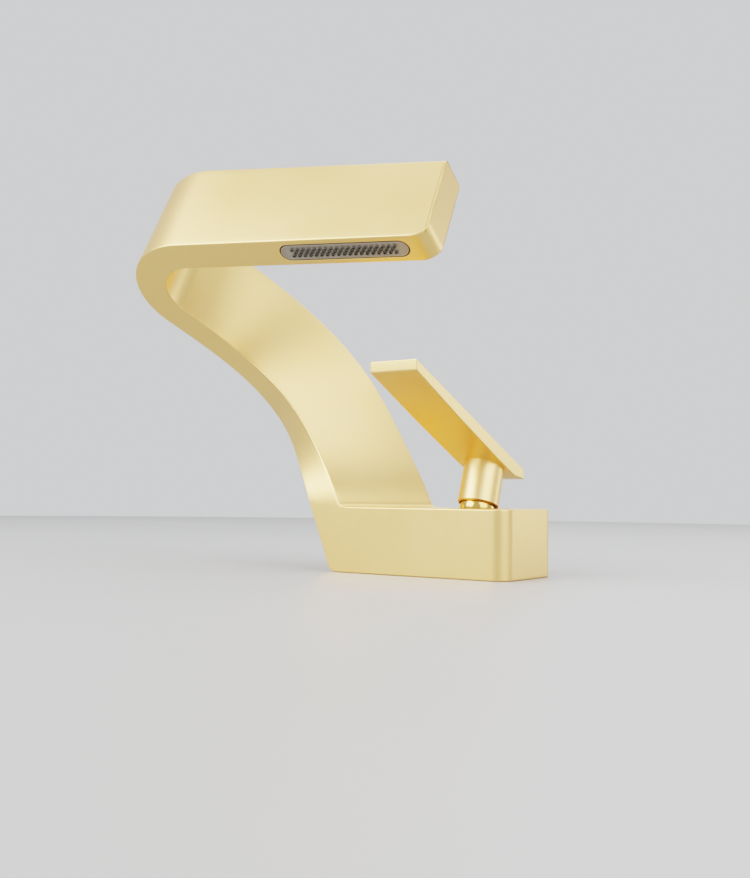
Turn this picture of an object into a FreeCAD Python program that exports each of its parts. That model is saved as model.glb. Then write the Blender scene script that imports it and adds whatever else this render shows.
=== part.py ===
import FreeCAD, Part
import Sketcher
import os
from math import cos, pi, radians, sin, tan
from FreeCAD import Placement, Rotation, Vector

# Single-lever basin mixer. Millimetres, X to the right, Y to the back, Z up.
# The origin is on the axis of the hole in the deck, at the plane where the base block sits.

doc = FreeCAD.newDocument("basin_mixer")
sheet = doc.addObject("Spreadsheet::Sheet", "Sizes")

# A size that starts with "=" follows the sizes it names.
SIZES = [
    # base block
    ("baseRight", 50, "right end of the base block from the deck hole's axis"),
    ("baseDepth", 50, "front to back"),
    ("baseHeight", 32, "deck to the block's top"),
    ("cornerRadius", 8, "upright corners at the right end"),
    ("heelRadius", 3, "rounded lower edge at the left end"),
    # ribbon: one flat band, from the block to the spout's tip
    ("ribbonWidth", 54.5, "across the band, riser and bend"),
    ("tipWidth", 49.5, "across the band at the tip"),
    ("tipSlant", 2.5, "inner face's end beyond the outer face's end, at the tip"),
    ("ribbonThickness", 16.5, "through the band"),
    ("spoutLength", 131.5, "bend's centre line to the tip"),
    ("bendRadius", 20, "inside of the bend"),
    ("bendX", -117.5, "bend's axis, at the band's front edge"),
    ("bendY", -43, "bend's axis, at the band's front edge"),
    ("bendZ", 140.5, "bend's axis, at the band's front edge"),
    ("widthAzimuth", 100, "which way the band's width leans, seen from above, from +X"),
    ("widthElevation", 58, "how steeply the band's width rises"),
    ("spoutTilt", 4, "spout's axis turned in the band's own plane"),
    ("legAngle", 59.5, "angle between the spout and the riser at the bend"),
    ("riserStraight", 13, "straight stretch under the bend"),
    ("footX", -49.7, "middle of the band's front edge at the block's top"),
    ("footThickness", 18.3, "level thickness of the band where it meets the block"),
    ("footTwist", 25, "band's width at the foot, turned from +Y"),
    ("footLean", 68.5, "slope of the block's left face"),
    ("footPull", 0.92, "how far the foot's slope reaches into the curve"),
    ("bendPull", 1.54, "how far the bend's direction reaches into the curve"),
    ("twistPower", 0.63, "where along the riser the twist happens"),
    ("blendStart", 0.45, "where along the riser its sections begin to turn level"),
    ("riserSections", 15, "sections through the twisted riser"),
    # hollow
    ("wallThickness", 3, "wall of the hollow casting"),
    ("channelFloor", 12, "lowest point of the water space in the riser"),
    ("channelInlet", 5, "mixed way's mouth above the water space's lowest point"),
    ("coverThickness", 2, "plate that closes the spout"),
    ("tipLip", 1.4, "casting left in front of the cover plate at the tip"),
    ("coverGap", 0.15, "cover plate to the lip"),
    # outlet
    ("slotLength", 66, "outlet plate's seat, end to end"),
    ("slotEdge", 3, "band left on each side of the outlet plate's seat"),
    ("slotWidth", "=ribbonThickness - 2 * slotEdge", "outlet plate's seat, across"),
    ("slotFromTip", 10.1, "seat's end to the tip"),
    ("plateThickness", 1.2, "outlet plate's flange"),
    ("plateClearance", 0.15, "outlet plate in its seat, all round"),
    ("flangeWidth", 1.8, "how far the flange overlaps the throat"),
    ("gasketThickness", 0.6, "rubber under the flange"),
    ("throatDepth", 3.4, "outlet plate's body behind the flange's front face"),
    ("nozzleRadius", 0.65, "holes in the outlet plate"),
    ("nozzlePitch", 2.9, "holes along a row"),
    ("nozzleCount", 19, "holes in a row"),
    ("rowEdge", 2.4, "edge of the seat to the width that the three rows share"),
    ("nozzleRowPitch", "=(slotWidth - 2 * rowEdge) / 3", "between the three rows"),
    ("strainerThickness", 1.2, "flow straightener behind the outlet plate"),
    ("strainerSlots", 12, "slots in the flow straightener"),
    ("strainerEnd", 3, "solid end of the flow straightener"),
    ("strainerSide", 1, "solid side of the flow straightener"),
    # cartridge and its bore
    ("cartridgeX", 22, "handle's axis"),
    ("boreDepth", 22, "block's top to the cartridge's seat"),
    ("cartridgeRadius", 12.5, "cartridge's outside"),
    ("boreClearance", 0.1, "cartridge in its bore, radial"),
    ("nutThread", 1.5, "gland nut's thread outside the cartridge"),
    ("nutRadius", "=cartridgeRadius + nutThread", "gland nut's thread"),
    ("nutThickness", 3.5, "gland nut"),
    ("notchHalf", 1.5, "gland nut's notches, half width"),
    ("notchDepth", 1.4, "gland nut's notches"),
    ("rimLedge", 1, "dome collar's recess outside the gland nut's thread"),
    ("ringRadius", "=nutRadius + rimLedge", "recess for the dome collar's rim"),
    ("ringDepth", 5, "recess for the dome collar's rim"),
    ("slipClearance", 0.05, "running and thread clearance, radial"),
    ("plateSeat", 2.5, "cartridge's base plate"),
    ("discThickness", 2, "each ceramic disc"),
    ("filmGap", 0.05, "between the two ceramic discs"),
    ("discWall", 1.9, "cartridge's outside to the lower disc's edge"),
    ("fixedDiscRadius", "=cartridgeRadius - discWall", "lower ceramic disc"),
    ("slideRoom", 3.2, "lower disc's edge to the upper disc's edge"),
    ("movingDiscRadius", "=fixedDiscRadius - slideRoom", "upper ceramic disc"),
    ("discRim", 2.8, "upper disc's edge to its hollow"),
    ("mixRadius", "=movingDiscRadius - discRim", "hollow under the moving disc"),
    ("mixDepth", 1.2, "hollow under the moving disc"),
    ("mixOffset", 1.6, "hollow's centre behind the disc's centre"),
    ("carrierInset", 0.2, "upper disc's edge to the carrier's edge"),
    ("carrierRadius", "=movingDiscRadius - carrierInset", "disc carrier"),
    ("carrierHeight", 2.95, "disc carrier"),
    ("chamberWall", 1.7, "cartridge's outside to its inside"),
    ("chamberRadius", "=cartridgeRadius - chamberWall", "inside of the cartridge"),
    ("cageGap", 0.3, "carrier to rotor"),
    ("cageRoom", 1, "inside of the cartridge to the rotor's flange"),
    ("cageRadius", "=chamberRadius - cageRoom", "rotor's flange"),
    ("cageThickness", 2, "rotor's flange"),
    ("lidThickness", 1.5, "cartridge's shoulder above the rotor"),
    ("shoulderWidth", 3, "cartridge's outside to its upper boss"),
    ("bossRadius", "=cartridgeRadius - shoulderWidth", "cartridge's upper boss"),
    ("bossHeight", 1.5, "cartridge's upper boss"),
    ("neckRadius", 5.8, "rotor's neck"),
    ("neckTop", 2.2, "rotor's neck above the pivot"),
    ("railThickness", 2.2, "rotor's two rails beside the carrier"),
    ("railLength", 8, "rotor's two rails"),
    ("railInset", 0.1, "rails inside the rotor's flange"),
    ("slitWidth", 3.8, "rotor's slot for the finger"),
    ("slitLength", 9.6, "rotor's slot for the finger"),
    ("yokeWidth", 5.4, "rotor's slot at the spindle"),
    ("portRadius", 1.4, "water holes through discs and base plate"),
    ("inletX", 3, "inlet holes to each side of the cartridge's axis"),
    ("inletY", -1.2, "inlet holes in front of the cartridge's axis"),
    ("outletY", 1.4, "outlet hole behind the cartridge's axis"),
    ("sealRadius", 1.95, "rubber rings under the base plate"),
    ("sealHeight", 1, "rubber rings under the base plate"),
    ("ringCord", 0.6, "neck seal's own radius"),
    # spindle
    ("pivotRise", 0, "pivot above the block's top"),
    ("fingerLength", 13.5, "pivot to the ball's centre"),
    ("ballRadius", 1.75, "ball at the finger's end"),
    ("ballClearance", 0.2, "ball in the carrier"),
    ("fingerRadius", 1.6, "finger"),
    ("stemRadius", 2.5, "spindle's stem"),
    ("stemTop", 17.5, "stem above the pivot"),
    ("stemBelow", 3, "stem below the pivot"),
    ("pinRadius", 1.1, "pivot pin"),
    ("pinInset", 0.3, "pivot pin's ends inside the rotor's neck"),
    ("halfTravel", 12.5, "half of the lever's tilt, degrees"),
    ("openTilt", 18, "tilt of the lever as stored, degrees"),
    # dome collar
    ("domeRadius", 8.4, "dome under the hub"),
    ("domeTop", 4.5, "dome's opening above the pivot"),
    ("domeBore", 6.2, "dome's opening"),
    ("dishRadius", 11.6, "dish round the dome"),
    ("dishDepth", 3.4, "dish below the pivot"),
    ("dishInner", 0.75, "inner radius of the dish, as a share of the dome's"),
    ("rimDrop", 0.1, "rim below the block's top"),
    # handle, measured in its closed position from the pivot
    ("hubRadius", 9.7, "hub"),
    ("hubGap", 1.5, "hub's lower edge above the block's top"),
    ("skirtClearance", 0.2, "hub round the dome, radial"),
    ("skirtTop", 9, "hollow of the hub above the pivot"),
    ("bladeWidth", 23.5, "lever"),
    ("bladeFront", 90, "lever's free end in front of the pivot"),
    ("bladeBack", 18.5, "lever's back end behind the pivot"),
    ("bladeTop", 27.9, "lever's upper face above the pivot, at the hub's axis"),
    ("bladeSlope", 5.3, "rise of the lever towards its free end, degrees"),
    ("bladeEdge", 4.6, "lever's thickness at both ends"),
    ("bladeRoot", 7, "lever's thickness at the hub"),
    ("kinkPlace", 0.55, "where the lever's underside bends, as a share of its front length"),
    ("kinkShare", 0.62, "how much of the root's extra thickness is there at the bend"),
    ("screwRadius", 2, "grub screw"),
    ("screwLength", 4.2, "grub screw"),
    ("screwHeight", 13.5, "grub screw above the pivot"),
    ("screwSocket", 1, "hexagon socket, across its flats, half"),
    ("socketDepth", 2.2, "hexagon socket"),
    ("plugGap", 0.2, "grub screw to its plug"),
    ("plugRadius", 2.4, "plug over the grub screw"),
    # underside
    ("portX", -3, "hose ports, from the deck hole's axis"),
    ("portY", 9.5, "hose ports, to each side"),
    ("hoseRadius", 4.5, "M10 x 1 hose thread"),
    ("hoseDepth", 12, "hose thread"),
    ("supplyRadius", 1.6, "hot and cold ways in the casting"),
    ("supplyHeight", 3.6, "hot and cold ways above the deck"),
    ("supplyTurn", 0.6, "hot way's turn, as a share of the port's distance from the middle"),
    ("mixedRadius", 1.7, "mixed way in the casting"),
    ("mixedHeight", 7.7, "mixed way above the deck, under the cartridge"),
    ("mixedClear", 1.5, "mixed way's turn outside the cartridge"),
    ("gasketInner", 19.5, "base gasket"),
    ("gasketOuter", 22.5, "base gasket"),
    ("gasketHeight", 1.2, "base gasket"),
    ("studX", -13, "fixing stud"),
    ("studRadius", 4, "M8 fixing stud"),
    ("studSink", 8, "stud in the block"),
    ("studLength", 83, "fixing stud"),
    ("deckThickness", 25, "deck between the block and the clamp"),
    ("clampRadius", 22, "horseshoe washers"),
    ("clampThroat", 15, "half width of the horseshoe's opening"),
    ("clampLeft", 7.8, "opening's closed end, to the left of the deck hole's axis"),
    ("studClearance", 0.3, "stud in the washers, radial"),
    ("rubberThickness", 3, "rubber horseshoe"),
    ("steelThickness", 2.5, "steel horseshoe"),
    ("nutFlats", 6.5, "stud nut, half across its flats"),
    ("nutLength", 8, "stud nut"),
]

for row, (alias, value, note) in enumerate(SIZES, 1):
    sheet.set("A%d" % row, note)
    sheet.set("B%d" % row, str(value))
    sheet.setAlias("B%d" % row, alias)
doc.recompute()


def size(alias):
    return float(sheet.get(alias))


# ---- short ways to make bound objects -------------------------------------------------

AXES = {"X": Vector(1, 0, 0), "Y": Vector(0, 1, 0), "Z": Vector(0, 0, 1)}


def bind(obj, terms):
    for name, term in terms.items():
        obj.setExpression(name, term)
    return obj


def place(obj, x, y, z):
    return bind(obj, {"Placement.Base.x": x, "Placement.Base.y": y, "Placement.Base.z": z})


def cylinder(name, radius, height, x="0", y="0", z="0", along="Z"):
    obj = doc.addObject("Part::Cylinder", name)
    obj.Placement = Placement(Vector(), Rotation(AXES["Z"], AXES[along]))
    bind(obj, {"Radius": radius, "Height": height})
    return place(obj, x, y, z)


def sphere(name, radius, x="0", y="0", z="0"):
    return place(bind(doc.addObject("Part::Sphere", name), {"Radius": radius}), x, y, z)


def box(name, length, width, height, x="0", y="0", z="0"):
    obj = doc.addObject("Part::Box", name)
    bind(obj, {"Length": length, "Width": width, "Height": height})
    return place(obj, x, y, z)


def centred_box(name, length, width, height, x="0", y="0", z="0"):
    return box(name, length, width, height, "%s - (%s) / 2" % (x, length), "%s - (%s) / 2" % (y, width), z)


def fuse(name, shapes):
    if len(shapes) == 1:
        return shapes[0]
    obj = doc.addObject("Part::MultiFuse", name)
    obj.Shapes = shapes
    return obj


def cut(name, base, *tools):
    obj = doc.addObject("Part::Cut", name)
    obj.Base = base
    obj.Tool = fuse(name + "_tools", list(tools))
    return obj


def common(name, first, second):
    obj = doc.addObject("Part::Common", name)
    obj.Base = first
    obj.Tool = second
    return obj


def tube(name, outer, inner, height, x="0", y="0", z="0"):
    # the hole runs 1 mm past both ends
    ring = cylinder(name + "_outside", outer, height, x, y, z)
    hole = cylinder(name + "_hole", inner, "%s + 2" % height, x, y, "%s - 1" % z)
    return cut(name, ring, hole)


def new_body(name):
    return doc.addObject("PartDesign::Body", name)


def outline(body, name, plane, corners):
    """A closed outline on one of the body's origin planes, each corner locked to two terms."""
    sketch = body.newObject("Sketcher::SketchObject", name)
    support = [f for f in body.Origin.OriginFeatures if f.Role == plane][0]
    sketch.AttachmentSupport = (support, [""])
    sketch.MapMode = "FlatFace"
    count = len(corners)
    rough = [Vector(cos(2 * pi * i / count), sin(2 * pi * i / count), 0) * 10 for i in range(count)]
    for i in range(count):
        sketch.addGeometry(Part.LineSegment(rough[i], rough[(i + 1) % count]), False)
    for i in range(count):
        sketch.addConstraint(Sketcher.Constraint("Coincident", i, 2, (i + 1) % count, 1))
    for i, (across, up) in enumerate(corners):
        for kind, term, value in (("DistanceX", across, rough[i].x), ("DistanceY", up, rough[i].y)):
            number = sketch.addConstraint(Sketcher.Constraint(kind, -1, 1, i, 1, value))
            sketch.setExpression("Constraints[%d]" % number, term)
    return sketch


def pad(body, name, sketch, length, midplane=False):
    feature = body.newObject("PartDesign::Pad", name)
    feature.Profile = sketch
    feature.Midplane = midplane
    feature.setExpression("Length", length)
    return feature


pieces = []


def piece(obj, label, rotation=None, x="0", y="0", z="0"):
    """Names a finished sub-part. Pieces made round the pivot or the outlet are set in place here."""
    obj.Label = label
    if rotation is not None:
        obj.Placement = Placement(Vector(), rotation)
        place(obj, x, y, z)
    pieces.append(obj)
    return obj


# ---- the ribbon's path ----------------------------------------------------------------


def unit(vector):
    return vector * (1 / vector.Length)


lean = radians(size("widthElevation"))
turn = radians(size("widthAzimuth"))
tilt = radians(size("spoutTilt"))
across = Vector(cos(lean) * cos(turn), cos(lean) * sin(turn), sin(lean))      # front edge to back edge
level = unit(across.cross(AXES["Z"]))
along = level * cos(tilt) + across.cross(level) * sin(tilt)                   # bend to tip
inward = across.cross(along)                                                  # outer face to inner face
leg = radians(size("legAngle"))
descent = along * cos(leg) + inward * sin(leg)                                # down the riser
bend_centre = Vector(size("bendX"), size("bendY"), size("bendZ"))
middle_radius = size("bendRadius") + size("ribbonThickness") / 2


def spout_point(from_tip, depth=0.0, through=0.0):
    """A point on the spout: distance from the tip, distance in from the front edge, offset inwards."""
    return (bend_centre + along * (size("spoutLength") - from_tip) - inward * (middle_radius - through)
            + across * depth)


def riser_section(part_way):
    """Front edge's middle, thickness vector and width vector of the twisted riser, from 0 to 1."""
    start = (bend_centre + (inward * -cos(pi - leg) - along * sin(pi - leg)) * middle_radius
             + descent * size("riserStraight"))
    end = Vector(size("footX"), -size("baseDepth") / 2, size("baseHeight"))
    slope = radians(size("footLean"))
    fall = Vector(cos(slope), 0, -sin(slope))
    reach = (end - start).Length
    first = descent * (size("bendPull") * reach)
    last = fall * (size("footPull") * reach)
    q = part_way
    centre = (start * (2 * q**3 - 3 * q**2 + 1) + first * (q**3 - 2 * q**2 + q)
              + end * (3 * q**2 - 2 * q**3) + last * (q**3 - q**2))
    heading = unit(start * (6 * q**2 - 6 * q) + first * (3 * q**2 - 4 * q + 1)
                   + end * (6 * q - 6 * q**2) + last * (3 * q**2 - 2 * q))
    twist = radians(size("footTwist"))
    foot_width = Vector(tan(twist), 1, 0) * size("baseDepth")
    share = q ** size("twistPower")
    share = share * share * (3 - 2 * share)
    width = unit(across * (1 - share) + unit(foot_width) * share)
    width = unit(width - heading * heading.dot(width))
    through = heading.cross(width) * size("ribbonThickness")
    width = width * size("ribbonWidth")
    blend = max(0.0, (q - size("blendStart")) / (1 - size("blendStart")))
    blend = blend * blend * (3 - 2 * blend)
    through = through * (1 - blend) + Vector(size("footThickness"), 0, 0) * blend
    width = width * (1 - blend) + foot_width * blend
    return centre, through, width


def band_corners(centre, through, width, wall):
    """The corners of the band's section, taken in by a wall all round."""
    near = unit(width) * wall
    side = through * (0.5 - wall / through.Length)
    return [centre + near - side, centre + near + side,
            centre + width - near + side, centre + width - near - side]


def ring(corners):
    return Part.makePolygon(corners + corners[:1])


def between(first, last):
    """The flat-sided solid between two outlines with the same number of corners."""
    count = len(first)
    sides = [[first[i], first[(i + 1) % count], last[(i + 1) % count], last[i]] for i in range(count)]
    shell = Part.makeShell([Part.Face(ring(corners)) for corners in [first[::-1], last] + sides])
    shell.sewShape()
    solid = Part.makeSolid(shell)
    if solid.Volume < 0:
        solid.reverse()
    return solid


def band(wall, tip_wall):
    """The whole band from the block's top to the spout's tip."""
    thick = inward * size("ribbonThickness")
    bend_start = bend_centre - inward * middle_radius
    wide = across * size("ribbonWidth")
    length = size("spoutLength")
    tip = []
    for i, corner in enumerate(band_corners(Vector(), thick, wide, wall)):
        # the end face leans: the inner corners, 1 and 2, reach further along than the outer ones
        from_tip = tip_wall - (size("tipSlant") if i in (1, 2) else 0)
        taper = (size("ribbonWidth") - size("tipWidth")) * (1 - from_tip / length)
        tip.append(spout_point(from_tip) + corner - (across * taper if i in (2, 3) else Vector()))
    root = band_corners(bend_start, thick, wide, wall)
    spout = between(root, tip)
    bend = Part.Face(ring(root)).revolve(bend_centre, across, -180 + size("legAngle"))
    top, through, width = riser_section(0)
    straight = Part.Face(ring(band_corners(top - descent * size("riserStraight"), through, width, wall)))
    straight = straight.extrude(descent * size("riserStraight"))
    count = int(size("riserSections"))
    wires = [ring(band_corners(*riser_section(i / count), wall)) for i in range(count + 1)]
    riser = Part.makeLoft(wires, True, False)
    return spout.fuse([bend, straight, riser])


def band_foot(wall, floor):
    """The band's straight continuation into the block, parallel to the block's left face."""
    centre, through, width = riser_section(1)
    drop = size("baseHeight") - floor
    low = centre + Vector(drop / tan(radians(size("footLean"))), 0, -drop)
    return between(band_corners(centre, through, width, wall), band_corners(low, through, width, wall))


def block():
    """The base block: level top and bottom, sloping left face in line with the band's outer face."""
    centre, through, width = riser_section(1)
    corner = centre - through * 0.5
    right = Vector(size("baseRight"), corner.y, corner.z)
    top = [corner, right, right + Vector(0, size("baseDepth"), 0), corner + width]
    down = Vector(0, 0, -size("baseHeight"))
    run = Vector(size("baseHeight") / tan(radians(size("footLean"))), 0, 0)
    bottom = [top[0] + down + run, top[1] + down, top[2] + down, top[3] + down + run]
    solid = between(bottom, top)
    upright = [e for e in solid.Edges if all(abs(v.X - size("baseRight")) < 1e-6 for v in e.Vertexes)
               and abs(e.Vertexes[0].Z - e.Vertexes[1].Z) > 1]
    solid = solid.makeFillet(size("cornerRadius"), upright)
    heel = [e for e in solid.Edges if all(abs(v.Z) < 1e-6 and v.X < 0 for v in e.Vertexes)
            and abs(e.Vertexes[0].Y - e.Vertexes[-1].Y) > size("baseDepth") / 2]
    return solid.makeFillet(size("heelRadius"), heel)


def cover_plate(stop):
    """The plate over the spout's outer face, from the bend to the given distance from the tip."""
    half = size("ribbonThickness") / 2
    outer = -half
    under = -half + size("coverThickness")
    length = size("spoutLength")
    taper = (size("ribbonWidth") - size("tipWidth")) * (1 - stop / length)
    ends = [[spout_point(from_tip, 0, outer), spout_point(from_tip, 0, under),
             spout_point(from_tip, width, under), spout_point(from_tip, width, outer)]
            for from_tip, width in ((length, size("ribbonWidth")), (stop, size("ribbonWidth") - taper))]
    return between(*ends)


def water_ways():
    """Cored ways: hot and cold from the hose ports, mixed water to the riser."""
    floor = size("baseHeight") - size("boreDepth")
    low = size("supplyHeight")
    high = size("mixedHeight")
    hot_turn = size("cartridgeX") + size("inletX")
    cold_end = size("cartridgeX") - size("inletX")
    outlet = Vector(size("cartridgeX"), size("outletY"), high)
    rise_start = Vector(size("cartridgeX") - size("cartridgeRadius") - size("mixedClear"),
                        size("outletY") / 2, high)
    centre, through, width = riser_section(1)
    riser_floor = size("channelFloor") + size("channelInlet")
    drop = size("baseHeight") - riser_floor
    riser_middle = centre + width * 0.5 + Vector(drop / tan(radians(size("footLean"))), 0, -drop)
    hot = [Vector(size("portX"), size("portY"), low),
           Vector(hot_turn, size("portY") * size("supplyTurn"), low),
           Vector(hot_turn, size("inletY"), low), Vector(hot_turn, size("inletY"), floor)]
    cold = [Vector(size("portX"), -size("portY"), low), Vector(cold_end, size("inletY"), low),
            Vector(cold_end, size("inletY"), floor)]
    mixed = [Vector(outlet.x, outlet.y, floor), outlet, rise_start, riser_middle]
    shapes = []
    supply = size("supplyRadius")
    for route, radius in ((hot, supply), (cold, supply), (mixed, size("mixedRadius"))):
        for a, b in zip(route, route[1:]):
            rising = abs(a.x - b.x) + abs(a.y - b.y) < 1e-6
            radius_here = size("portRadius") if rising else radius
            shapes.append(Part.makeCylinder(radius_here, (b - a).Length, a, b - a))
            if not rising and b is not route[-1]:
                shapes.append(Part.makeSphere(radius, b))
    return shapes[0].fuse(shapes[1:])


# ---- faucet body and its cover --------------------------------------------------------

wall = size("wallThickness")
half_band = size("ribbonThickness") / 2
lid_opening = between(*[
    [spout_point(from_tip, wall, -half_band), spout_point(from_tip, wall, 0),
     spout_point(from_tip, width - wall, 0), spout_point(from_tip, width - wall, -half_band)]
    for from_tip, width in ((size("spoutLength"), size("ribbonWidth")), (wall + 1, size("tipWidth")))])
casting = doc.addObject("Part::Feature", "casting")
solid_band = block().fuse(band(0, 0))
hollows = [band(wall, wall), band_foot(wall, size("channelFloor")), lid_opening, cover_plate(size("tipLip"))]
for hollow in hollows:
    solid_band = solid_band.cut(hollow)
casting.Shape = solid_band.removeSplitter()
ways = doc.addObject("Part::Feature", "water_ways")
ways.Shape = water_ways()

FLOOR = "(Sizes.baseHeight - Sizes.boreDepth)"
PIVOT = "(Sizes.baseHeight + Sizes.pivotRise)"
NUT_TOP = "(Sizes.baseHeight - Sizes.ringDepth)"
NUT_SEAT = "(Sizes.baseHeight - Sizes.ringDepth - Sizes.nutThickness)"

bore = cylinder("cartridge_bore", "Sizes.cartridgeRadius + Sizes.boreClearance", "Sizes.boreDepth",
                "Sizes.cartridgeX", "0", FLOOR)
thread = cylinder("nut_thread", "Sizes.nutRadius", "Sizes.ringDepth + Sizes.nutThickness + 1",
                  "Sizes.cartridgeX", "0", NUT_SEAT + " - 1")
recess = cylinder("rim_recess", "Sizes.ringRadius", "Sizes.ringDepth + 1", "Sizes.cartridgeX", "0", NUT_TOP)
ports = [cylinder(name, "Sizes.hoseRadius", "Sizes.hoseDepth + 1", "Sizes.portX", y, "-1")
         for name, y in (("hot_port", "Sizes.portY"), ("cold_port", "-Sizes.portY"))]
stud_hole = cylinder("stud_hole", "Sizes.studRadius", "Sizes.studSink + 1", "Sizes.studX", "0", "-1")
groove = tube("gasket_groove", "Sizes.gasketOuter", "Sizes.gasketInner", "(Sizes.gasketHeight + 1)", z="-1")

outlet_middle = size("slotFromTip") + size("slotLength") / 2
outlet_turn = Rotation(along, inward * -1, across * -1, "ZXY")
outlet_at = spout_point(outlet_middle)


def at_outlet(obj):
    obj.Placement = Placement(outlet_at, outlet_turn)
    return obj


def stadium(name, length, width, height, z):
    """A slot-shaped block round the outlet's middle; Z points out of the spout."""
    middle = centred_box(name + "_middle", "%s - %s" % (length, width), width, height, "0", "0", z)
    offset = "(%s - %s) / 2" % (length, width)
    ends = [cylinder(name + "_end%d" % i, "%s / 2" % width, height, sign + offset, "0", z)
            for i, sign in enumerate(("", "-"))]
    return fuse(name, [middle] + ends)


THROAT_LENGTH = "(Sizes.slotLength - 2 * Sizes.flangeWidth)"
THROAT_WIDTH = "(Sizes.slotWidth - 2 * Sizes.flangeWidth)"
SEAT_DEPTH = "(Sizes.plateThickness + Sizes.gasketThickness)"
seat = at_outlet(stadium("outlet_seat", "Sizes.slotLength", "Sizes.slotWidth", SEAT_DEPTH + " + 1",
                         "-" + SEAT_DEPTH))
throat = at_outlet(stadium("outlet_throat", THROAT_LENGTH, THROAT_WIDTH, "Sizes.wallThickness + 1",
                           "-Sizes.wallThickness - 0.5"))
piece(cut("body_cut", casting, bore, thread, recess, *ports, stud_hole, groove, ways, seat, throat),
      "faucet_body")

cover = doc.addObject("Part::Feature", "cover")
cover.Shape = cover_plate(size("tipLip") + size("coverGap"))
piece(cover, "spout_cover")

# ---- outlet ---------------------------------------------------------------------------

PLATE_LENGTH = "(Sizes.slotLength - 2 * Sizes.plateClearance)"
PLATE_WIDTH = "(Sizes.slotWidth - 2 * Sizes.plateClearance)"
NOSE_LENGTH = "(%s - 2 * Sizes.plateClearance)" % THROAT_LENGTH
NOSE_WIDTH = "(%s - 2 * Sizes.plateClearance)" % THROAT_WIDTH
flange = stadium("plate_flange", PLATE_LENGTH, PLATE_WIDTH, "Sizes.plateThickness", "-Sizes.plateThickness")
nose = stadium("plate_nose", NOSE_LENGTH, NOSE_WIDTH, "Sizes.throatDepth", "-Sizes.throatDepth")
nozzles = []
for line in (-1, 0, 1):
    in_line = int(size("nozzleCount")) - (line == 0)
    for i in range(in_line):
        nozzles.append(cylinder("nozzle_%d_%d" % (line + 1, i), "Sizes.nozzleRadius",
                                "Sizes.throatDepth + 2", "%g * Sizes.nozzlePitch" % (i - (in_line - 1) / 2),
                                "%d * Sizes.nozzleRowPitch" % line, "-Sizes.throatDepth - 1"))
piece(at_outlet(cut("plate_cut", fuse("plate_body", [flange, nose]), *nozzles)), "outlet_insert")

gasket_out = stadium("rubber_outside", PLATE_LENGTH, PLATE_WIDTH, "Sizes.gasketThickness", "-" + SEAT_DEPTH)
gasket_in = stadium("rubber_inside", THROAT_LENGTH, THROAT_WIDTH, "Sizes.gasketThickness + 2",
                    "-" + SEAT_DEPTH + " - 1")
piece(at_outlet(cut("rubber_cut", gasket_out, gasket_in)), "outlet_gasket")

STRAINER_DEPTH = "(Sizes.throatDepth + Sizes.strainerThickness)"
strip = stadium("strainer_strip", NOSE_LENGTH, NOSE_WIDTH, "Sizes.strainerThickness", "-" + STRAINER_DEPTH)
slot_count = int(size("strainerSlots"))
SLOT_PITCH = "(%s - 2 * Sizes.strainerEnd) / Sizes.strainerSlots" % NOSE_LENGTH
slots = [centred_box("strainer_slot%d" % i, "Sizes.nozzlePitch", "%s - 2 * Sizes.strainerSide" % NOSE_WIDTH,
                     "Sizes.strainerThickness + 2", "%g * %s" % (i - (slot_count - 1) / 2, SLOT_PITCH),
                     "0", "-" + STRAINER_DEPTH + " - 1")
         for i in range(slot_count)]
piece(at_outlet(cut("strainer_cut", strip, *slots)), "flow_straightener")

# ---- cartridge: stacked upwards from its seat -----------------------------------------

CART = "Sizes.cartridgeX"
DISC_FLOOR = "(%s + Sizes.plateSeat)" % FLOOR
MOVING_FLOOR = "(%s + Sizes.discThickness + Sizes.filmGap)" % DISC_FLOOR
CARRIER_FLOOR = "(%s + Sizes.discThickness)" % MOVING_FLOOR
CAGE_FLOOR = "(%s + Sizes.carrierHeight + Sizes.cageGap)" % CARRIER_FLOOR
PORTS = [("Sizes.cartridgeX - Sizes.inletX", "Sizes.inletY"),
         ("Sizes.cartridgeX + Sizes.inletX", "Sizes.inletY"), (CART, "Sizes.outletY")]


def port_holes(name, radius, floor, height):
    return [cylinder("%s%d" % (name, i), radius, height, x, y, floor) for i, (x, y) in enumerate(PORTS)]


base_disc = cylinder("cartridge_floor", "Sizes.cartridgeRadius", "Sizes.plateSeat", CART, "0", FLOOR)
base_ports = port_holes("base_port", "Sizes.portRadius", FLOOR + " - 1", "Sizes.plateSeat + 2")
seal_seats = port_holes("seal_seat", "Sizes.sealRadius", FLOOR + " - 1", "Sizes.sealHeight + 1")
piece(cut("base_cut", base_disc, *base_ports, *seal_seats), "cartridge_base")
seals = [tube("port_seal%d" % i, "Sizes.sealRadius", "Sizes.portRadius", "Sizes.sealHeight", x, y, FLOOR)
         for i, (x, y) in enumerate(PORTS)]
seal_set = doc.addObject("Part::Compound", "seal_set")
seal_set.Links = seals
piece(seal_set, "port_seals")

fixed = cylinder("fixed_blank", "Sizes.fixedDiscRadius", "Sizes.discThickness", CART, "0", DISC_FLOOR)
piece(cut("fixed_cut", fixed, *port_holes("fixed_port", "Sizes.portRadius", DISC_FLOOR + " - 1",
                                          "Sizes.discThickness + 2")), "fixed_disc")

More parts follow.
